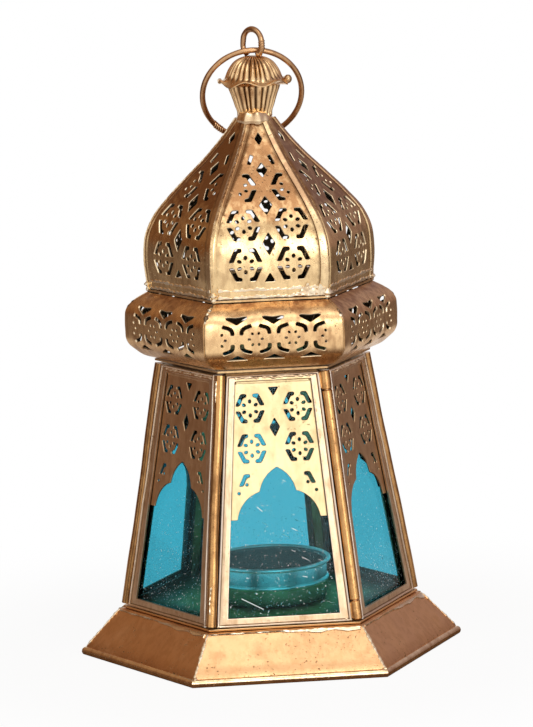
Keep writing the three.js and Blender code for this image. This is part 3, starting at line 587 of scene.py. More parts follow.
def frame_half(z):
    """Half the width of a frame at a height."""
    return body_corner(z) / 2 - EDGE_SETBACK


def frame_corners(margin, share=0.0):
    """Corners (x, z) of a frame drawn in by a margin, and by a share of the way to its opening."""
    low, high = FRAME_FOOT_Z + margin * np.cos(LEAN), FRAME_HEAD_Z - margin * np.cos(LEAN)
    foot, head = FRAME_FOOT_Z + RAIL_FOOT, FRAME_HEAD_Z - RAIL_HEAD
    outline = np.array([(-frame_half(low) + margin, low), (frame_half(low) - margin, low),
                        (frame_half(high) - margin, high), (-frame_half(high) + margin, high)])
    opening = np.array([(-frame_half(foot) + STILE_FOOT, foot), (frame_half(foot) - STILE_FOOT, foot),
                        (frame_half(head) - STILE_HEAD, head), (-frame_half(head) + STILE_HEAD, head)])
    return outline + (opening - outline) * share


# Each row: margin from the frame's edge, share of the way to the opening, height off the face, how bright
# a painted highlight it takes, and how dark a painted shade.
CHANNEL = np.array([
    (0, 0, -0.3, 1, 0), (0, 0, 0.25, 1, 0), (0.12, 0, 0.48, 0.8, 0), (0.4, 0, 0.6, 0.5, 0),
    (0.68, 0, 0.48, 0.3, 0), (0.8, 0, 0.2, 0, 0.6), (0.95, 0, 0.03, 0, 1), (1.2, 0, 0, 0, 0.2),
    (0.95, 0.1, 0.02, 0, 0), (0.8, 0.5, 0.03, 0, 0), (0.8, 0.88, 0.03, 0, 0),
    (0.8, 0.94, 0.03, 0.6, 0), (0.8, 0.97, 0, 0, 0.7), (0.8, 1, -0.1, 0, 0.5),
    (0.8, 1, -0.7, 0, 0.6), (0.7, 0, -0.7, 0, 1), (0.7, 0, -3.8, 0, 1), (CHANNEL_LIP, 0, -3.8, 0, 1),
    (CHANNEL_LIP, 0, -CHANNEL_BACK, 0, 1), (0, 0, -CHANNEL_BACK, 0, 1), (0, 0, -0.8, 0.8, 0)])


def channel(seed):
    """The channel section carried round the four mitred sides of a frame, with an uneven wave of its
    height off the face along them."""
    share = np.linspace(0, 1, 15)[:-1, None]
    rows = []
    for margin, inward, out in CHANNEL[:, :3]:
        corners = frame_corners(margin, inward)
        x, z = np.concatenate([a + (b - a) * share for a, b in zip(corners, np.roll(corners, -1, 0))]).T
        wave = 0.1 * waver(np.arctan2(z - 65, x) * 3, seed, 1, 2, 5) * (out > -0.5)
        rows.append(on_face(x, z, out + wave))
    return np.concatenate(rows), tubular(len(rows), 56, ring=True)


strip_gold = brass("strip_gold", (0.82, 0.59, 0.38), (0.52, 0.30, 0.15), rough=0.3, brushed=1.2,
                   edge_shine_and_shade=(1.0, 0.97, 0.9))
channel_marks = {"edge": np.repeat(CHANNEL[:, 3], 56), "grime": np.repeat(CHANNEL[:, 4], 56)}
for side, name in enumerate(SIDES[1:], 1):
    piece("channel_" + name, around(channel(90 + side), side), strip_gold, ["frame_" + name], **channel_marks)
piece("door_channel", channel(90), strip_gold, ["door_frame"], body="door", **channel_marks)

# The door turns on two knuckles, short tubes that close the hinge bead above and below. A web of
# folded strip, soldered to the door's right edge, carries each.

KNUCKLE_WEB = np.array([(-2.34, -0.75), (-2.205, -0.2), (-1.53, 0.15), (-0.99, 0.35),
                        (-0.99, -0.75), (-1.53, -1.0), (-2.205, -1.1), (-2.34, -1.0)])
knuckles = [tube(0, KNUCKLE), tube(POST_RUN - KNUCKLE, POST_RUN)]
for foot in (0.0, POST_RUN - KNUCKLE):
    z = np.linspace(foot + 0.6, foot + KNUCKLE - 0.6, 6)[:, None] * np.cos(CORNER_LEAN) + POST_FOOT_Z
    web = on_face((body_corner(z) - POST_INSET) / 2 + KNUCKLE_WEB[:, 0], z, KNUCKLE_WEB[:, 1])
    knuckles.append((web.reshape(-1, 3), tubular(6, 8)))
piece("door_knuckles", joined(*knuckles), post_gold, body="door")

# Solder has run down the front left bead in two places, and beads of it hold the mitres at the foot
# of the door.

bead_runs = [seam([(0.5, -2.05, 4.5), (0.2, -2.1, 9), (0.5, -2.05, 15)], (1.0, 0, 0), 0.5, 0.3, 301, 0.5),
             seam([(-0.6, -1.95, 84), (-0.5, -2.0, 92)], (1.0, 0, 0), 0.35, 0.25, 302, 0.5)]
piece("bead_solder", joined(*[(at_corner(points, 5), faces) for points, faces in bead_runs]), solder)

door_foot_left, door_foot_right = frame_corners(0.5)[:2]
mitre_dots = []
for x, z in (door_foot_left, door_foot_right, door_foot_right + (-1.6, 0.3)):
    dot_line = on_face(np.array([x - 0.5, x + 0.5]), np.array([z, z + 0.2]), 0.5)
    mitre_dots.append(seam(dot_line, (0, 0, 1.0), 0.45, 0.55, 310, 0.1))
piece("door_corner_solder", joined(*mitre_dots), solder, body="door")

# A pane of turquoise glass stands behind each frame, held by the lip of its channel. The panes are
# dusty, most of all at the foot, and finely scratched, and the front one has three deeper scratches.

turquoise_glass = bpy.data.materials.new("turquoise_glass")
glass = Finish(turquoise_glass)
at = glass.node("TexCoord", out="Object")
at_foot = 1.0 - glass.part("Z", at).rise(0.026, 0.07)
dust = (glass.noise(at, 1500.0, 1.0) + at_foot * 0.055).rise(0.74, 0.77)
dust = dust * glass.noise(at, 160.0, 2.0).rise(0.3, 0.5)
slanted = glass.node("Mapping", None, Vector=at, Rotation=(0.0, -0.5, 0.0))
scratch = glass.noise(slanted, 1500.0, 1.0, (0.07, 1, 1)).rise(0.74, 0.77)
scratch = scratch * glass.noise(at, 60.0).rise(0.52, 0.62)
for ends in (((-15.4, 28.8), (-7.5, 24.5)), ((-8.0, 62.5), (-6.2, 60.9)), ((8.0, 36.0), (9.6, 35.6))):
    start, end = (on_face(x, z, -1.9) * 0.001 for x, z in ends)
    onward = (end - start) / np.sum((end - start) ** 2)
    from_start = glass.node("VectorMath", {"operation": "SUBTRACT"}, at, tuple(start))
    share = glass.node("VectorMath", {"operation": "DOT_PRODUCT"}, from_start, tuple(onward), out="Value")
    share = glass.node("Clamp", None, share, 0.0, 1.0)
    nearest = glass.node("VectorMath", {"operation": "SCALE"}, tuple(end - start), Scale=share)
    off = glass.node("VectorMath", {"operation": "DISTANCE"}, from_start, nearest, out="Value")
    scratch = scratch.most(1.0 - off.rise(0.00008, 0.00024))
ripple = glass.node("Bump", None, Strength=0.08, Distance=0.0003, Height=glass.noise(at, 45.0, 2.0))
clear = glass.node("BsdfPrincipled", None, Base_Color=(0.215, 0.635, 0.735), Roughness=0.0,
                   Normal=ripple, Transmission_Weight=1.0, IOR=1.2)
speck = glass.node("BsdfPrincipled", None, Base_Color=(0.85, 0.95, 0.95), Roughness=0.7)
glass.node("OutputMaterial", None, glass.node("MixShader", None, (dust + scratch) * 0.75, clear, speck))
for name in SIDES:
    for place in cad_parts["pane_" + name].material_slots:
        place.material = turquoise_glass

# Over the upper glass of each side lies a pierced plate, cut below into a cusped arch. Its lattice of
# rosettes and diamonds is punched, which leaves each hole a rounded edge.


def softened(loop, step=0.35, passes=2):
    """A closed outline as even steps, its corners rounded by averaging neighbours a few times."""
    loop = np.asarray(loop, float)
    closed = np.concatenate([loop, loop[:1]])
    whole = lengths(closed)[-1]
    points = points_along(closed, np.linspace(0, whole, max(8, round(whole / step)) + 1)[:-1])
    for _ in range(passes):
        points = points / 2 + (np.roll(points, 1, 0) + np.roll(points, -1, 0)) / 4
    return points


def spread(loop, margin):
    """A closed outline moved outwards by a margin, across the line between each point's neighbours."""
    ahead = np.roll(loop, -1, 0) - np.roll(loop, 1, 0)
    area = np.sum(loop[:, 0] * np.roll(loop[:, 1], -1) - loop[:, 1] * np.roll(loop[:, 0], -1))
    out = np.stack([ahead[:, 1], -ahead[:, 0]], 1) * np.sign(area)
    return loop + margin * out / np.linalg.norm(out, axis=1, keepdims=True)


def within(points, loops):
    """Whether points lie inside an odd number of the loops, by counting the edges to their right."""
    start = np.concatenate(loops)
    end = np.concatenate([np.roll(loop, -1, 0) for loop in loops])
    x, y = points[:, :1], points[:, 1:]
    crossing = (start[:, 1] > y) != (end[:, 1] > y)
    rise = np.where(end[:, 1] == start[:, 1], 1e-9, end[:, 1] - start[:, 1])
    return (crossing & (x < start[:, 0] + (y - start[:, 1]) * (end - start)[:, 0] / rise)).sum(1) % 2 == 1


def punched(outline, holes, lines, step, rim_width=0.15):
    """A flat sheet (u, s) divided into triangles, as points, faces, open edges and edge marks.

    The triangles keep its outline, its holes, a ring just outside each hole and one a rim's width
    inside the outline, and the lines along which it will bend. A staggered grid of points, step
    apart, fills the rest.
    """
    rings = [spread(hole, 0.15) for hole in holes] + [spread(outline, -rim_width)]
    loops = [outline, *holes]
    drawn = np.concatenate([*loops, *rings, *lines])
    low, high = outline.min(0), outline.max(0)
    columns, rows = (np.arange(a + step / 2, b, step) for a, b in zip(low, high))
    across, up = np.meshgrid(columns, rows)
    across[1::2] += step / 2
    grid = np.stack([across.ravel(), up.ravel()], 1)
    grid = grid[within(grid, loops)]
    near = np.concatenate([((part[:, None] - drawn) ** 2).sum(2).min(1) for part in np.array_split(grid, 8)])
    grid = grid[near > (0.55 * step) ** 2]
    edges, start = [], 0
    for line, shut in [(loop, True) for loop in (*loops, *rings)] + [(line, False) for line in lines]:
        count = np.arange(len(line) if shut else len(line) - 1)
        edges.append(np.stack([count, (count + 1) % len(line)], 1) + start)
        start += len(line)
    points, edges = np.concatenate([drawn, grid]), np.concatenate(edges)
    made = delaunay_2d_cdt(points.tolist(), edges.tolist(), [], 0, 1e-6, False)
    flat, faces = np.array(made[0]), np.array(made[2])
    faces = faces[within(flat[faces].mean(1), loops)]
    a, b, c = flat[faces].transpose(1, 0, 2)
    area = (b - a)[:, 0] * (c - a)[:, 1] - (b - a)[:, 1] * (c - a)[:, 0]
    faces = np.where(area[:, None] > 0, faces, faces[:, ::-1])[np.abs(area) > 1e-7]
    used, faces = np.unique(faces, return_inverse=True)
    flat, faces = flat[used], faces.reshape(-1, 3)
    sides = np.concatenate([faces[:, [0, 1]], faces[:, [1, 2]], faces[:, [2, 0]]])
    _, where, times = np.unique(np.sort(sides, 1), axis=0, return_index=True, return_counts=True)
    rim = sides[where[times == 1]]
    edge = np.zeros(len(flat))
    edge[rim] = 1.0
    return flat, faces, rim, edge


def folded_sheet(sheet, thick, place, burr=0.16):
    """Folds a punched sheet into a closed shell with place(u, s, depth): its front is at depth 0,
    sinking by the burr at the holes, and its back at its thickness. Returns its marks too."""
    flat, faces, rim, edge = sheet
    front = place(flat[:, 0], flat[:, 1], burr * edge)
    back = place(flat[:, 0], flat[:, 1], thick + 0 * edge)
    behind = len(flat)
    walls = np.stack([rim[:, 1], rim[:, 0], rim[:, 0] + behind, rim[:, 1] + behind], 1)
    shell = np.concatenate([front, back]), [faces, faces[:, ::-1] + behind, walls]
    return shell, {"edge": np.concatenate([edge, edge * 0.3]), "inside": np.repeat([0.0, 1.0], behind)}


def diamond(u, s, half_width, half_height):
    """A diamond-shaped hole about (u, s)."""
    outline = [(u - half_width, s), (u, s - half_height), (u + half_width, s), (u, s + half_height)]
    return softened(outline, 0.3)


def triangle(u, s, half_width, height):
    """A triangular hole on a level side at (u, s). With a negative height it points down."""
    return softened([(u - half_width, s), (u + half_width, s), (u, s + height)], 0.3)


ROSETTE_WIDTH, ROSETTE_HEIGHT, SLOT = 7.1, 6.2, 1.6


def bent_slot(u, s, x, y, size=1.0):
    """A quarter of a rosette's broken hexagon: down one slanted side and round on to the level one."""
    w, h, b = ROSETTE_WIDTH * size, ROSETTE_HEIGHT * size, SLOT * size
    points = np.array([(w - 0.47 * b, 1), (w / 2 + 0.3, h), (1.4 * size, h), (1.4 * size, h - b * 0.85),
                       (w / 2 - 0.4 * b, h - b), (w - 1.62 * b, 1)])
    return softened(points * (x, y) + (u, s), 0.3, 3)


def dots(u, s, ring, wide, long, angles):
    """Oval dots on a ring, each with its length towards the middle."""
    turn = np.linspace(0, 2 * np.pi, 11)[:-1]
    made = []
    for angle in np.radians(angles):
        c, r = np.cos(angle), np.sin(angle)
        oval = np.stack([long / 2 * np.cos(turn), wide / 2 * np.sin(turn)], 1) @ np.array([[c, r], [-r, c]])
        made.append(oval + (u + ring * c, s + ring * r))
    return made


def rosette(u, s, size, ring, wide, long):
    """The holes of a rosette: four bent slots round a ring of six dots."""
    slots = [bent_slot(u, s, x, y, size) for x, y in ((1, 1), (-1, 1), (-1, -1), (1, -1))]
    return slots + dots(u, s, ring, wide, long, range(-90, 270, 60))


def on_plate(u, s, depth):
    """A point of the pierced plate, which lies behind the face of its frame."""
    return on_face(u, s, -PLATE_DEPTH - depth)


ARCH = [(15.6, 39.2), (15.3, 40.6), (14.75, 42.3), (13.7, 44.3), (12.2, 46.2), (10.3, 47.8), (8.6, 48.7),
        (6.9, 49.3), (6.5, 50.6), (5.9, 52.3), (4.9, 54.1), (3.5, 55.8), (1.8, 57.2), (0, 58.3)]
PLATE_DEPTH, TRIM, ARCH_ROSETTE, ARCH_OUT = 1.0, 0.6, 0.86, 9
ARCH_SLOT_Z = FRAME_FOOT_Z + 50.7
ARCH_FOOT_Z, ARCH_HEAD_Z = FRAME_FOOT_Z + ARCH[0][1], FRAME_HEAD_Z - 1.0
arch_right = np.array(ARCH) + (0, FRAME_FOOT_Z)
arch_line = np.concatenate([arch_right, arch_right[-2::-1] * (-1, 1)])
foot_half, head_half = frame_half(ARCH_FOOT_Z) - 1.0, frame_half(ARCH_HEAD_Z) - 1.0
arch_corners = [(foot_half, ARCH_FOOT_Z), (head_half, ARCH_HEAD_Z),
                (-head_half, ARCH_HEAD_Z), (-foot_half, ARCH_FOOT_Z)]
arch_outline = softened(np.concatenate([arch_corners, arch_line[::-1]]), 0.5, 0)
arch_holes = [triangle(0, FRAME_FOOT_Z + 87.9, 1.9, -3.1), diamond(0, FRAME_FOOT_Z + 73.1, 1.9, 3.5)]
for hand in (-1, 1):
    for height in (80.4, 65.5):
        arch_holes += rosette(hand * ARCH_OUT, FRAME_FOOT_Z + height, ARCH_ROSETTE, 2.6, 1.1, 1.45)
    arch_holes.append(bent_slot(hand * ARCH_OUT, ARCH_SLOT_Z, hand, 1, ARCH_ROSETTE))
    for u, s in ((2.5, 1.5), (5.6, -1.6)):
        arch_holes += dots(hand * (ARCH_OUT + u), ARCH_SLOT_Z + s, 0, 1.1, 1.1, [0])
arch_heights = np.linspace(ARCH_FOOT_Z + 0.5, ARCH_HEAD_Z - 0.5, 60)
strip_edge = np.interp(arch_heights, *frame_corners(0.8, 1.0)[1:3, ::-1].T)
arch_lines = [np.stack([hand * (strip_edge - inset), arch_heights], 1)
              for inset in (0.05, 0.4, 0.7) for hand in (-1, 1)]
arch_sheet = punched(arch_outline, arch_holes, arch_lines, 1.6)
arch_shell, arch_marks = folded_sheet(arch_sheet, TRIM, on_plate)
# Painted shade: the plate is painted dark where it runs under the frame's strips.
under_strip = np.interp(arch_sheet[0][:, 1], arch_heights, strip_edge) - np.abs(arch_sheet[0][:, 0])
arch_marks["grime"] = np.tile(np.clip(0.75 - (under_strip - 0.2) / 0.4, 0, 1), 2)

# The door plate's hole edges are painted near black as shade in the holes. The side plates take a redder,
# darker copy of its brass as painted shade for the sides, with brown painted shade at their holes.
plate_brass = brass("plate_brass", (0.73, 0.57, 0.315), (0.60, 0.39, 0.18), rough=0.3, dents=0.3, spots=0.3,
                    patchy=0.5, edge_shine_and_shade=(0.05, 0.025, 0.012))
shaded_plate_brass = brass("shaded_plate_brass", (0.80, 0.53, 0.30), (0.52, 0.28, 0.13), rough=0.3, dents=0.3,
                      spots=0.3, patchy=0.7, edge_shine_and_shade=(0.5, 0.34, 0.2))
piece("arch_plate_front", arch_shell, plate_brass, ["arch_front"], body="door", **arch_marks)
for side, name in enumerate(SIDES[1:], 1):
    piece("arch_plate_" + name, around(arch_shell, side), shaded_plate_brass, ["arch_" + name], **arch_marks)

# Solder has run along the shoulder of the base, where the sides stand on it. It lies in a thin, uneven
# smear down each slope, wider towards the right.


def smear(u, low, high, seed, ragged=0.5):
    """The outline of a smear of solder over lengths u, between two uneven edges."""
    bottom = low + 0.4 * ragged * waver(u, seed, 0.7, 1.9)
    top = high + ragged * waver(u, seed + 1, 0.35, 0.9, 2.3)
    return np.concatenate([np.stack([u, bottom], 1), np.stack([u, top], 1)[::-1]])


def patch(outline, step, thick, place, burr=0.16, rim_width=0.15):
    """A thin patch of an outline, laid on a surface by place(u, s, depth), and its marks."""
    return folded_sheet(punched(outline, [], [], step, rim_width), thick, place, burr)


SHOULDER_CORNER, SHOULDER_Z, SHOULDER_SLOPE, SMEAR_PROUD = 59.2, 16.3, 0.96, 0.3


def on_shoulder(u, z, depth):
    """A point on the front slope under its shoulder: u across, z up, and depth inwards."""
    corner = SHOULDER_CORNER + (SHOULDER_Z - z).clip(-0.4) * SHOULDER_SLOPE
    return np.stack([u, -corner * COS_SIDE - SMEAR_PROUD + depth, z + 0.25 - depth], -1)


shoulder_smears = []
shoulder_u = np.arange(-28.3, 28.4, 0.35)
for side in range(6):
    outline = smear(shoulder_u, 16.6, 17.1, 210 + side, 0.12)
    sag = 0.1 + 1.5 * np.clip((shoulder_u + 4) / 32, 0, 1)
    outline[:len(sag), 1] -= sag * (0.7 + 0.4 * waver(shoulder_u, 215 + side, 0.25, 0.6))
    shoulder_smears.append(around(patch(outline, 0.6, 0.4, on_shoulder)[0], side))
piece("shoulder_solder", joined(*shoulder_smears), solder)

# The head of each plate is lapped by a narrow strip of sheet, flush with the frame's top rail, and a
# dull smear of solder holds the two.

dull_solder = brass("dull_solder", (0.96, 0.77, 0.54), (0.62, 0.38, 0.20), rough=0.38, brushed=0.0, spots=0.9,
                    edge_shine_and_shade=(0.10, 0.04, 0.015))
RAIL_EDGE_Z = frame_corners(0.8, 1.0)[2, 1]
RAIL_HALF = frame_half(FRAME_HEAD_Z) - 1.4
LAP_DROP = PLATE_DEPTH + 0.14


def on_lap(u, s, depth):
    """A point of the lap, which drops to the plate below the rail's edge."""
    drop = np.clip((RAIL_EDGE_Z + 0.2 - s) / 0.4, 0, 1) * LAP_DROP
    return on_face(u, s, 0.2 - drop - depth)


def on_rail(u, s, depth):
    """A point of the smear on the rail, with an uneven thickness."""
    return on_face(u, s, 0.45 - depth + 0.08 * waver(u + s, 7, 1, 2.3))


lap_u = np.arange(1.75 - RAIL_HALF, RAIL_HALF - 1.75, 0.3)
rail_u = np.arange(1.6 - RAIL_HALF, RAIL_HALF, 0.3)
rail_smears = []
for side, name in enumerate(SIDES):
    outline = smear(lap_u, RAIL_EDGE_Z - 1.2, FRAME_HEAD_Z - 1.2, 190 + side, 0.2)
    lap = around(patch(outline, 0.6, 0.35, on_lap, 0.05)[0], side)
    outline = smear(rail_u, RAIL_EDGE_Z + 0.7, FRAME_HEAD_Z - 0.6, 200 + side, 0.5)
    smeared, marks = patch(outline, 0.5, 0.3, on_rail, 0.3, 0.5)
    if side == 0:
        piece("rail_lap_" + name, lap, plate_brass, body="door")
        # Its edges are painted dark, a painted shade round the smear.
        piece("door_rail_solder", smeared, dull_solder, body="door", edge=marks["edge"])
    else:
        piece("rail_lap_" + name, lap, shaded_plate_brass)
        rail_smears.append(around(smeared, side))
piece("rail_solder", joined(*rail_smears), dull_solder)

# The band between body and dome is six bulging segments of sheet, pierced with one row of small
# rosettes. They stand on the plate over the body and are mitred at the corners.


def folded(profile, step=0.5):
    """A curved strip of sheet as place(u, s, depth), its half width and its lengths at heights.

    The profile of (corner radius, height) is a smooth curve of length s. Depth goes in square to it,
    and the width follows the distance from the axis, which keeps the ends mitred.
    """
    corner, z = smooth_line(profile, step).T
    x = corner * COS_SIDE
    s = np.concatenate([[0], np.cumsum(np.hypot(np.diff(x), np.diff(z)))])
    dx, dz = np.gradient(x, s), np.gradient(z, s)

    def place(u, length, depth):
        """The point u across and length up the strip, and depth in along its normal."""
        base = np.interp(length, s, x)
        out = base - depth * np.interp(length, s, dz)
        height = np.interp(length, s, z) + depth * np.interp(length, s, dx)
        return np.stack([u * out / base, -out, height], -1)

    def half(length):
        """Half the strip's width, length up it."""
        return np.interp(length, s, corner) / 2

    def up_at(height):
        """How far up the strip a height lies."""
        return np.interp(height, z, s)

    return place, half, up_at, s


EDGE_ROUND = 1.5


def rounded_off(u, half):
    """Depth of a rounded corner: within 0.87 mm of it the sheet follows an arc of 1.5 mm."""
    past = np.clip(0.5 * EDGE_ROUND - (half - 0.12 - np.abs(u)), 0, 0.5 * EDGE_ROUND)
    return EDGE_ROUND - np.sqrt(EDGE_ROUND ** 2 - past ** 2)


def side_lines(half, s, margins):
    """Lines up both edges of a strip, at margins in from them, and its outline."""
    reach = half(s) - 0.12
    lines = [np.stack([hand * (reach - margin), s], 1) for margin in margins for hand in (-1, 1)]
    foot = np.stack([np.linspace(-reach[0], reach[0], 60)[1:-1], np.full(58, s[0])], 1)
    head = np.stack([np.linspace(reach[-1], -reach[-1], 60)[1:-1], np.full(58, s[-1])], 1)
    left, right = np.stack([-reach, s], 1), np.stack([reach, s], 1)
    return lines, np.concatenate([foot, right, head, left[::-1]])


SIDE_SLOT = [(1.4, 5.2), (5.0, 3.45), (5.25, 1.7)]


def side_slot(u, s, x, y, wide=1.4):
    """A slot of a rosette that stands on a point: slanting down from the top and bent into the side."""
    line = smooth_line(SIDE_SLOT, 0.3)
    ahead = np.gradient(line, axis=0)
    out = np.stack([-ahead[:, 1], ahead[:, 0]], 1) / np.linalg.norm(ahead, axis=1, keepdims=True)
    outline = np.concatenate([line + wide / 2 * out, (line - wide / 2 * out)[::-1]])
    return softened(outline * (x, y) + (u, s), 0.3, 3)


COLLAR_TOP_Z, DOME_RING_TOP_Z, BAND_PITCH = 113.9, 140.8, 6.9
BAND_PROFILE = np.array([(41.2, 0.4), (45.4, 1.6), (49.1, 4.2), (51.3, 6.3), (52.2, 8.2), (52.4, 11),
                         (52.4, 16.5), (52.2, 18.6), (51.1, 20.8), (48.6, 23.0), (43.4, 25.9)])
SHIELD = np.array([(-4.1, 0.2), (-3.2, 0.45), (0, 0), (3.2, 0.45), (4.1, 0.2), (3.9, -0.6), (0, -3.0),
                   (-3.9, -0.6)])
band_place, band_half, band_up_at, band_s = folded(BAND_PROFILE + (0, COLLAR_TOP_Z))
shield_s, row_s, foot_s = (band_up_at(COLLAR_TOP_Z + height) for height in (21.3, 13.2, 5.3))
band_holes = []
for k in (-2, 0, 2):
    u = k * BAND_PITCH
    band_holes.append(softened(SHIELD + (u, shield_s), 0.3, 1))
    band_holes.append(softened([(u - 4.0, foot_s), (u + 4.0, foot_s), (u, foot_s + 2.3)], 0.3, 1))
for k in (-3, -1, 1, 3):
    whole = abs(k) < 3
    hands = (1, -1) if whole else (-np.sign(k),)
    band_holes += [side_slot(k * BAND_PITCH, row_s, x, y) for x in hands for y in (-1, 1)]
    kept = [angle for angle in range(0, 360, 60) if whole or np.cos(np.radians(angle)) * k < 0]
    band_holes += dots(k * BAND_PITCH, row_s, 2.4, 0.95, 1.15, kept)
band_lines, band_outline = side_lines(band_half, band_s, (0.25, 0.5, 0.78))
band_sheet = punched(band_outline, band_holes, band_lines, 1.3)
band_gold = brass("band_gold", (1.0, 0.67, 0.34), (0.36, 0.17, 0.075), rough=0.25,
                  darker_heights=(0.132, 0.146, 1.0, 1.1))


def band_shape(seed):
    """The band's fold with its corners rounded and shallow dents between them."""
    def shape(u, s, depth):
        half = band_half(s)
        calm = np.clip((half - np.abs(u)) / 6, 0, 1)
        dent = 0.22 * calm * waver(u / 6 + 1.7 * np.sin(s / 9), seed, 0.8, 1.7) * np.sin(s / 12)
        return band_place(u, s, depth + rounded_off(u, half) + dent)
    return shape


for side, name in enumerate(SIDES):
    shell, marks = folded_sheet(band_sheet, SHEET, band_shape(120 + side))
    piece("band_segment_" + name, around(shell, side), band_gold, ["band_" + name], **marks)

# The band's mitres are filled with solder over the top of the bulge, broken by patches painted dark as
# the shade of gaps. Most has gathered at the front left corner.

band_joints, joint_grime = [], []
for corner in range(6):
    heights = np.linspace(19.5, 26.0 if corner == 5 else 23.0, 5)
    sunk = 0.35 - np.interp(heights, *BAND_PROFILE.T[::-1])
    mitre = np.stack([0 * heights, sunk, heights + COLLAR_TOP_Z], 1)
    joint = seam(mitre, (1.0, 0, 0), 0.55 if corner == 5 else 0.2, 0.6, 270 + corner, 0.5)
    band_joints.append(around(joint, corner + 0.5))
    joint_grime.append(np.where(waver(joint[0][:, 2], 280 + corner, 1.7, 3.9) > 0.1, 0.0, 1.0))
piece("band_solder", joined(*band_joints), solder, grime=np.concatenate(joint_grime))

# The onion dome is six pierced petals of sheet on a flat ring. The right edge of each is covered by a
# flange of its neighbour, which leaves a thin step.

DOME_PROFILE = np.array([(43.0, 0.3), (44.0, 12.2), (43.0, 21.0), (39.9, 27.6), (34.4, 34.2), (26.7, 42.0),
                         (18.2, 50.4), (11.6, 58.1), (7.6, 63.6)])
PETAL_OUT = 9.05
dome_place, dome_half, dome_up_at, dome_s = folded(DOME_PROFILE + (0, DOME_RING_TOP_Z))
foot_s, low_s, mid_s, high_s, slant_s = dome_up_at(DOME_RING_TOP_Z + np.array([6.5, 13.1, 27.8, 40.2, 49.5]))
petal_holes = [triangle(0, foot_s, 2.1, 3.4)]
DIAMONDS = ((20.7, 2.5, 4.4), (34.1, 2.5, 4.2), (46.0, 2.1, 3.4), (56.8, 1.5, 2.7))
for height, half_width, half_height in DIAMONDS:
    petal_holes.append(diamond(0, dome_up_at(DOME_RING_TOP_Z + height), half_width, half_height))
SLANT = np.array([(-0.1, 2.3), (-1.3, 1.7), (0.2, -2.3), (1.4, -1.8)])
for hand in (-1, 1):
    petal_holes += rosette(hand * PETAL_OUT, low_s, 1.0, 2.7, 1.35, 1.7)
    petal_holes += rosette(hand * PETAL_OUT, mid_s, 1.0, 2.7, 1.35, 1.7)
    petal_holes += [bent_slot(hand * PETAL_OUT, high_s, -hand, y) for y in (-1, 1)]
    petal_holes += dots(hand * PETAL_OUT, high_s, 2.6, 1.2, 1.5, [90 + hand * 60, 90 + hand * 120, -90])
    petal_holes.append(softened(SLANT * (hand, 1) + (hand * 3.9, slant_s), 0.3, 1))


def flange(s):
    """Width of a petal's flange, which narrows towards the top."""
    return 3.4 - 1.2 * s / dome_s[-1]


petal_lines, petal_outline = side_lines(dome_half, dome_s, (0.25, 0.5, 0.78, 1.2, 1.6, 2.0))
petal_lines += [np.stack([dome_half(dome_s) - flange(dome_s) - shift, dome_s], 1) for shift in (-0.06, 0.06)]
petal_sheet = punched(petal_outline, petal_holes, petal_lines, 1.3)
petal_u, petal_s = petal_sheet[0].T
from_right = dome_half(petal_s) - petal_u
# The flange takes a faint painted highlight, and a dark line is painted as shade along the step beside it.
flange_shine = np.clip((flange(petal_s) - from_right) / 0.1, 0, 1) * 0.15
flange_grime = np.tile(0.8 * np.exp(-((from_right - flange(petal_s) - 0.06) / 0.12) ** 2), 2)
petal_gold = brass("petal_gold", (1.0, 0.72, 0.38), (0.33, 0.165, 0.07), rough=0.2, patchy=0.6,
                   darker_heights=(0.158, 0.18, 0.192, 0.22))


def petal_shape(seed):
    """The dome's fold with rounded corners, a groove inside its left edge, a flange 0.4 mm proud along
    its right one, and shallow dents."""
    def shape(u, s, depth):
        half = dome_half(s)
        proud = 0.4 * np.clip((u - half + flange(s) + 0.06) / 0.12, 0, 1)
        groove = 0.35 * np.exp(-((u + half - 1.7) / 0.4) ** 2)
        calm = np.clip((half - np.abs(u)) / 6, 0, 1) * np.clip(s / 8, 0, 1)
        dent = 0.3 * calm * waver(u / 7 + 1.3 * np.sin(s / 11), seed, 0.9, 1.9)
        dent = dent * waver(s / 10, seed + 9, 0.9, 1.6)
        return dome_place(u, s, depth + rounded_off(u, half) - proud + groove + dent)
    return shape


for side, name in enumerate(SIDES):
    shell, marks = folded_sheet(petal_sheet, TRIM, petal_shape(140 + side))
    marks["edge"] = np.maximum(marks["edge"], np.tile(flange_shine, 2))
    marks["grime"] = flange_grime
    piece("dome_petal_" + name, around(shell, side), petal_gold, ["petal_" + name], **marks)

# The petals are soldered along their feet, in two smears with a lump at each corner, and up their
# joints. A bright blotch has spread over the foot of the front petal, at its right.

dome_smears, dome_corners = [], []
foot_u = np.arange(-19.8, 20.6, 0.35)
foot_lump = [(0, -42.6, DOME_RING_TOP_Z - 1.0), (0, -43.2, DOME_RING_TOP_Z + 3.0)]
dome_ridge = np.stack([0 * dome_s, 0.35 - dome_half(dome_s) * 2, dome_place(0.0, dome_s, 0.0)[:, 2]], 1)[2:-3]
for side in range(6):
    petal_place = petal_shape(140 + side)
    for low, high in ((0.1, 1.1), (2.8, 3.8)):
        foot_smear, _ = patch(smear(foot_u, low, high, 230 + side, 0.35), 0.5, 0.4,
                              lambda u, s, depth: petal_place(u, np.maximum(s, 0.05), depth - 0.32))
        dome_smears.append(around(foot_smear, side))
    dome_smears.append(around(seam(foot_lump, (1.0, 0, 0), 1.1, 1.3, 250 + side), side + 0.5))
    dome_corners.append(around(seam(dome_ridge, (1.0, 0, 0), 0.3, 0.45, 260 + side), side + 0.5))

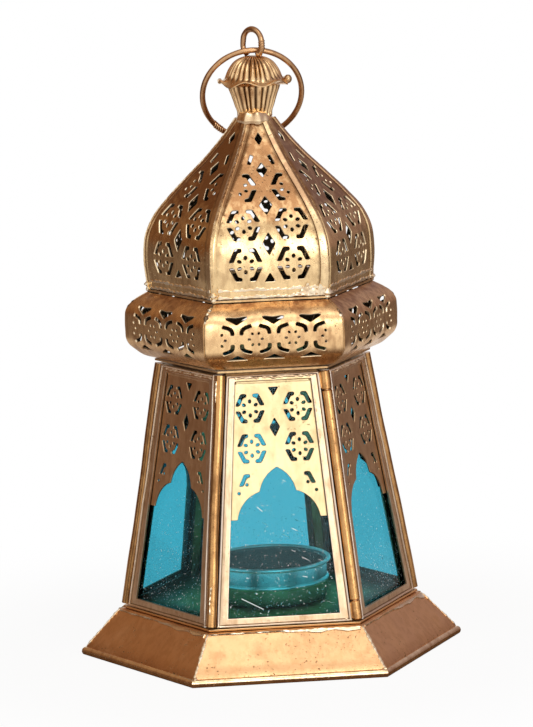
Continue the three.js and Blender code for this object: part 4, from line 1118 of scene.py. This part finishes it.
front_petal = petal_shape(140)
blotch_u = np.arange(9.0, 20.3, 0.3)
blotch = smear(blotch_u, 0.5, 1.0, 222, 0.5)
blotch_rise = 3.4 * np.clip(1 - ((blotch_u - 15.5) / 6.5) ** 2, 0, 1)
blotch_rise = blotch_rise * (1 + 0.35 * waver(blotch_u, 9, 1.1, 2.7))
blotch[len(blotch_u):, 1] += blotch_rise[::-1]


def on_blotch(u, s, depth):
    """A point of the blotch, whose face is lumpy."""
    return front_petal(u, s, depth - 0.5 + 0.2 * waver(u + 3 * np.sin(s), 5, 0.6, 1.3, 2.9))


piece("dome_blotch", patch(blotch, 0.6, 0.4, on_blotch)[0], solder)
piece("dome_solder", joined(*dome_smears), solder)
piece("dome_corner_seams", joined(*dome_corners), petal_gold)

# The fluted cup of the finial is pressed from thin sheet and soldered on the dome's neck, with a
# blob of solder run round it that is thickest in front.

FLUTES = 24
NECK_Z, CUP_HOLLOW = 205.0, 3.0
finial_gold = brass("finial_gold", (1.0, 0.69, 0.37), (0.42, 0.19, 0.07), rough=0.08, dents=0.5, brushed=0.2)
bearing = np.linspace(0, 2 * np.pi, FLUTES * 12 + 1)[:-1]


def flutes(count, start=0.0):
    """Round ribs with sharp valleys: the size of a sine, which is 1 on a rib and 0 between two."""
    uneven = bearing + start + 0.03 * waver(bearing, count, 3, 7, 10)
    return np.abs(np.sin(count * uneven / 2))


stem = smooth_line([(6.7, NECK_Z), (6.3, 205.8), (7.2, 209.5), (8.4, 213.3), (9.5, 216.4), (9.7, 218.2)], 0.6)
stem_ribs = flutes(FLUTES)
pressed = np.concatenate([[0, 0.5], np.ones(len(stem) - 2)])[:, None] * 0.95
stem_radius = stem[:, :1] + pressed * (stem_ribs * (1 + 0.12 * waver(bearing, 5, 3, 7)) - 0.55)
hollow = np.full((1, len(bearing)), CUP_HOLLOW)
stem_height = np.concatenate([[NECK_Z], stem[:, 1], [218.2]])[:, None]
stem_shell = spun(np.concatenate([hollow, stem_radius, hollow]), stem_height)
# Painted shade: the valleys between the flutes are painted dark.
stem_grime = np.tile(np.clip((0.75 - stem_ribs) / 0.45, 0, 1), len(stem_height))
piece("fluted_cup", stem_shell, finial_gold, ["finial_cup"], crease=50, grime=stem_grime)

BLOB_RADIUS, BLOB_Z = 5.6, 204.4
blob = np.array([(BLOB_RADIUS, 203.0), (8.7, 202.9), (9.1, 204.0), (8.5, 205.5), (7.7, 206.9),
                 (6.7, 208.0), (5.4, 208.3)])
bulk = (0.25 + 0.75 * (0.5 + 0.5 * np.cos(bearing + 0.3)) ** 3) * (1 + 0.16 * waver(bearing, 12, 3, 5, 11))
blob_radius = BLOB_RADIUS + (blob[:, :1] - BLOB_RADIUS) * bulk
piece("neck_solder", spun(blob_radius, BLOB_Z + (blob[:, 1:] - BLOB_Z) * bulk), rim_gold)

# Over the cup sits a fluted cap of the same sheet, with a thin wavy brim, two corners of which are
# curled into knobs.

BRIM_Z, CAP_TOP_Z, BRIM_RADIUS, KNOB_BEARING = 218.3, 228.0, 13.4, 84
lobes = flutes(28, 0.05)
cap_line = smooth_line([(1.5, 227.9), (4.2, 227.2), (7.0, 225.6), (8.9, 223.2), (10.1, 220.9),
                        (10.9, 219.6)], 0.6)
down = np.linspace(0, 1, len(cap_line))[:, None]
cap_pressed = np.clip(down * 6, 0, 1) * np.clip((1 - down) * 5 + 0.25, 0, 1)
cap_radius = cap_line[:, :1] + cap_pressed * (lobes * (1 + 0.1 * waver(bearing, 8, 3, 5)) - 0.55)
cap_height = np.broadcast_to(cap_line[:, 1:], cap_radius.shape)

# Each row: radius, height, and how far the brim waves there.
brim = np.array([(11.6, 218.9, 0.3), (12.4, 218.6, 0.65), (13.1, 218.45, 0.95), (BRIM_RADIUS, BRIM_Z, 1.0),
                 (13.3, 217.95, 1.0), (12.3, 217.8, 0.8), (11.0, 217.4, 0.4), (9.6, 216.8, 0.0),
                 (3.0, 216.8, 0.0)])
loose = brim[:, 2:]
wave = np.cos(6 * (bearing + 0.36)) + 0.2 * waver(bearing, 3, 3, 4)
tip = np.exp(-((bearing - np.radians(KNOB_BEARING)) / 0.13) ** 2)
brim_radius = brim[:, :1] + loose * (0.25 * waver(bearing, 4, 3, 5) + 0.3 * tip)
brim_height = brim[:, 1:2] + loose * (1.05 * wave * (1 - tip) + 0.75 * tip)
cap_shell = spun(np.concatenate([cap_radius, brim_radius]), np.concatenate([cap_height, brim_height]))
knobs = []
tilt = np.linspace(-np.pi / 2, np.pi / 2, 9)[1:-1, None]
for knob_bearing, size, inward in ((-97, 0.9, 0.6), (KNOB_BEARING, 1.5, 0.4)):
    ball, ball_faces = spun(np.broadcast_to(size * np.cos(tilt), (7, 16)), size * np.sin(tilt))
    ball = ball * (1, 1, 1.15) + (0, inward - BRIM_RADIUS, BRIM_Z + 0.3)
    knobs.append(around((ball, ball_faces), knob_bearing / 60))
cap_shell = joined(cap_shell, *knobs)
# Painted shade: the cap's flute valleys are painted dark, and the knobs darker to dull their highlights.
valleys = np.tile(np.clip((0.68 - lobes) / 0.45, 0, 1), len(cap_radius))
plain = np.zeros(brim_radius.size)
knob_grime = np.full(len(cap_shell[0]) - len(valleys) - len(plain), 0.45)
cap_grime = np.concatenate([valleys, plain, knob_grime])
piece("fluted_cap", cap_shell, finial_gold, ["finial_cap"], crease=50, grime=cap_grime)

# The eye on top is bent from brass wire, its feet drawn in and soldered to the cap. One leg is bound
# with four turns of thin wire.

wire_gold = brass("wire_gold", (0.62, 0.36, 0.18), (0.32, 0.16, 0.07), rough=0.2, brushed=0.2)
EYE_WIRE, EYE_HALF, EYE_TOP_Z, EYE_SIXTHS = 1.1, 4.8, 237.85, -50 / 60
half_turn = np.linspace(0, np.pi, 7)
crown = zip(EYE_HALF * np.cos(half_turn), EYE_TOP_Z - EYE_HALF + EYE_HALF * np.sin(half_turn))
eye = smooth_line([(0.6 * EYE_HALF, CAP_TOP_Z + 0.22), (EYE_HALF, CAP_TOP_Z + 2.42), *crown,
                   (-EYE_HALF, CAP_TOP_Z + 2.42), (-0.6 * EYE_HALF, CAP_TOP_Z + 0.22)], 0.35)
eye_wire = EYE_WIRE * (1 + 0.05 * waver(np.arange(len(eye)) / 8, 6, 1, 2.6))
eye_rod = rod(np.insert(eye, 1, 0, axis=1), (0, 1.0, 0), eye_wire, sides=16)
piece("wire_eye", around(eye_rod, EYE_SIXTHS), wire_gold, ["hanging_loop"])

turn = np.linspace(0, 2 * np.pi, 21)[:-1, None]
coil = 0.9 * np.concatenate([np.cos(turn), np.sin(turn), 0.5 * np.cos(turn)], 1)
eye_wraps = [rod(np.array([EYE_HALF, 0, CAP_TOP_Z + rise]) + coil, (0, 0, 1.0), 0.42, sides=8, ring=True)
             for rise in (2.6, 3.5, 4.4, 5.3)]
eye_foot = [(2.6, 0, CAP_TOP_Z - 0.6), (3.6, 0, CAP_TOP_Z + 1.6)]
eye_wraps.append(seam(eye_foot, (0, 1.0, 0), 1.35, 1.35, 5, 0.1))
piece("eye_wraps", around(joined(*eye_wraps), EYE_SIXTHS), wire_gold)

# The carrying ring is a loose hoop of the same wire, bent by hand. Five turns of thin wire bind the
# joint of its ends.

RING_RADIUS, RING_WIRE, RING_LEAN, RING_PIVOT_Z = 18.9, 1.1, np.radians(23), 229.9
ring_across = np.array([1.0, 0, 0])
ring_up = np.array([0, -np.sin(RING_LEAN), np.cos(RING_LEAN)])
ring_normal = np.cross(ring_across, ring_up)
ring_middle = np.array([0, RING_RADIUS * np.sin(RING_LEAN), RING_PIVOT_Z - RING_RADIUS * np.cos(RING_LEAN)])
ring_turn = np.linspace(0, 2 * np.pi, 161)[:-1, None]
ring_path = ring_middle + RING_RADIUS * (np.cos(ring_turn) * ring_across + np.sin(ring_turn) * ring_up)
ring_gauge = RING_WIRE * (1 - 0.04 * waver(ring_turn[:, 0], 2, 2, 5, 9) ** 2)
hoop = rod(ring_path, ring_normal, ring_gauge, sides=16, ring=True)
piece("ring_wire", hoop, wire_gold, ["carrying_ring"], body="ring")

ring_wraps = []
for bound_at in np.radians([222, 224.8, 227.6, 230.4, 233.2]):
    out = np.cos(bound_at) * ring_across + np.sin(bound_at) * ring_up
    onward = np.cos(bound_at) * ring_up - np.sin(bound_at) * ring_across
    coil = 0.9 * (np.cos(turn) * (out + 0.8 * onward) + np.sin(turn) * ring_normal)
    ring_wraps.append(rod(ring_middle + RING_RADIUS * out + coil, onward, 0.45, sides=8, ring=True))
piece("ring_wraps", joined(*ring_wraps), wire_gold, body="ring")
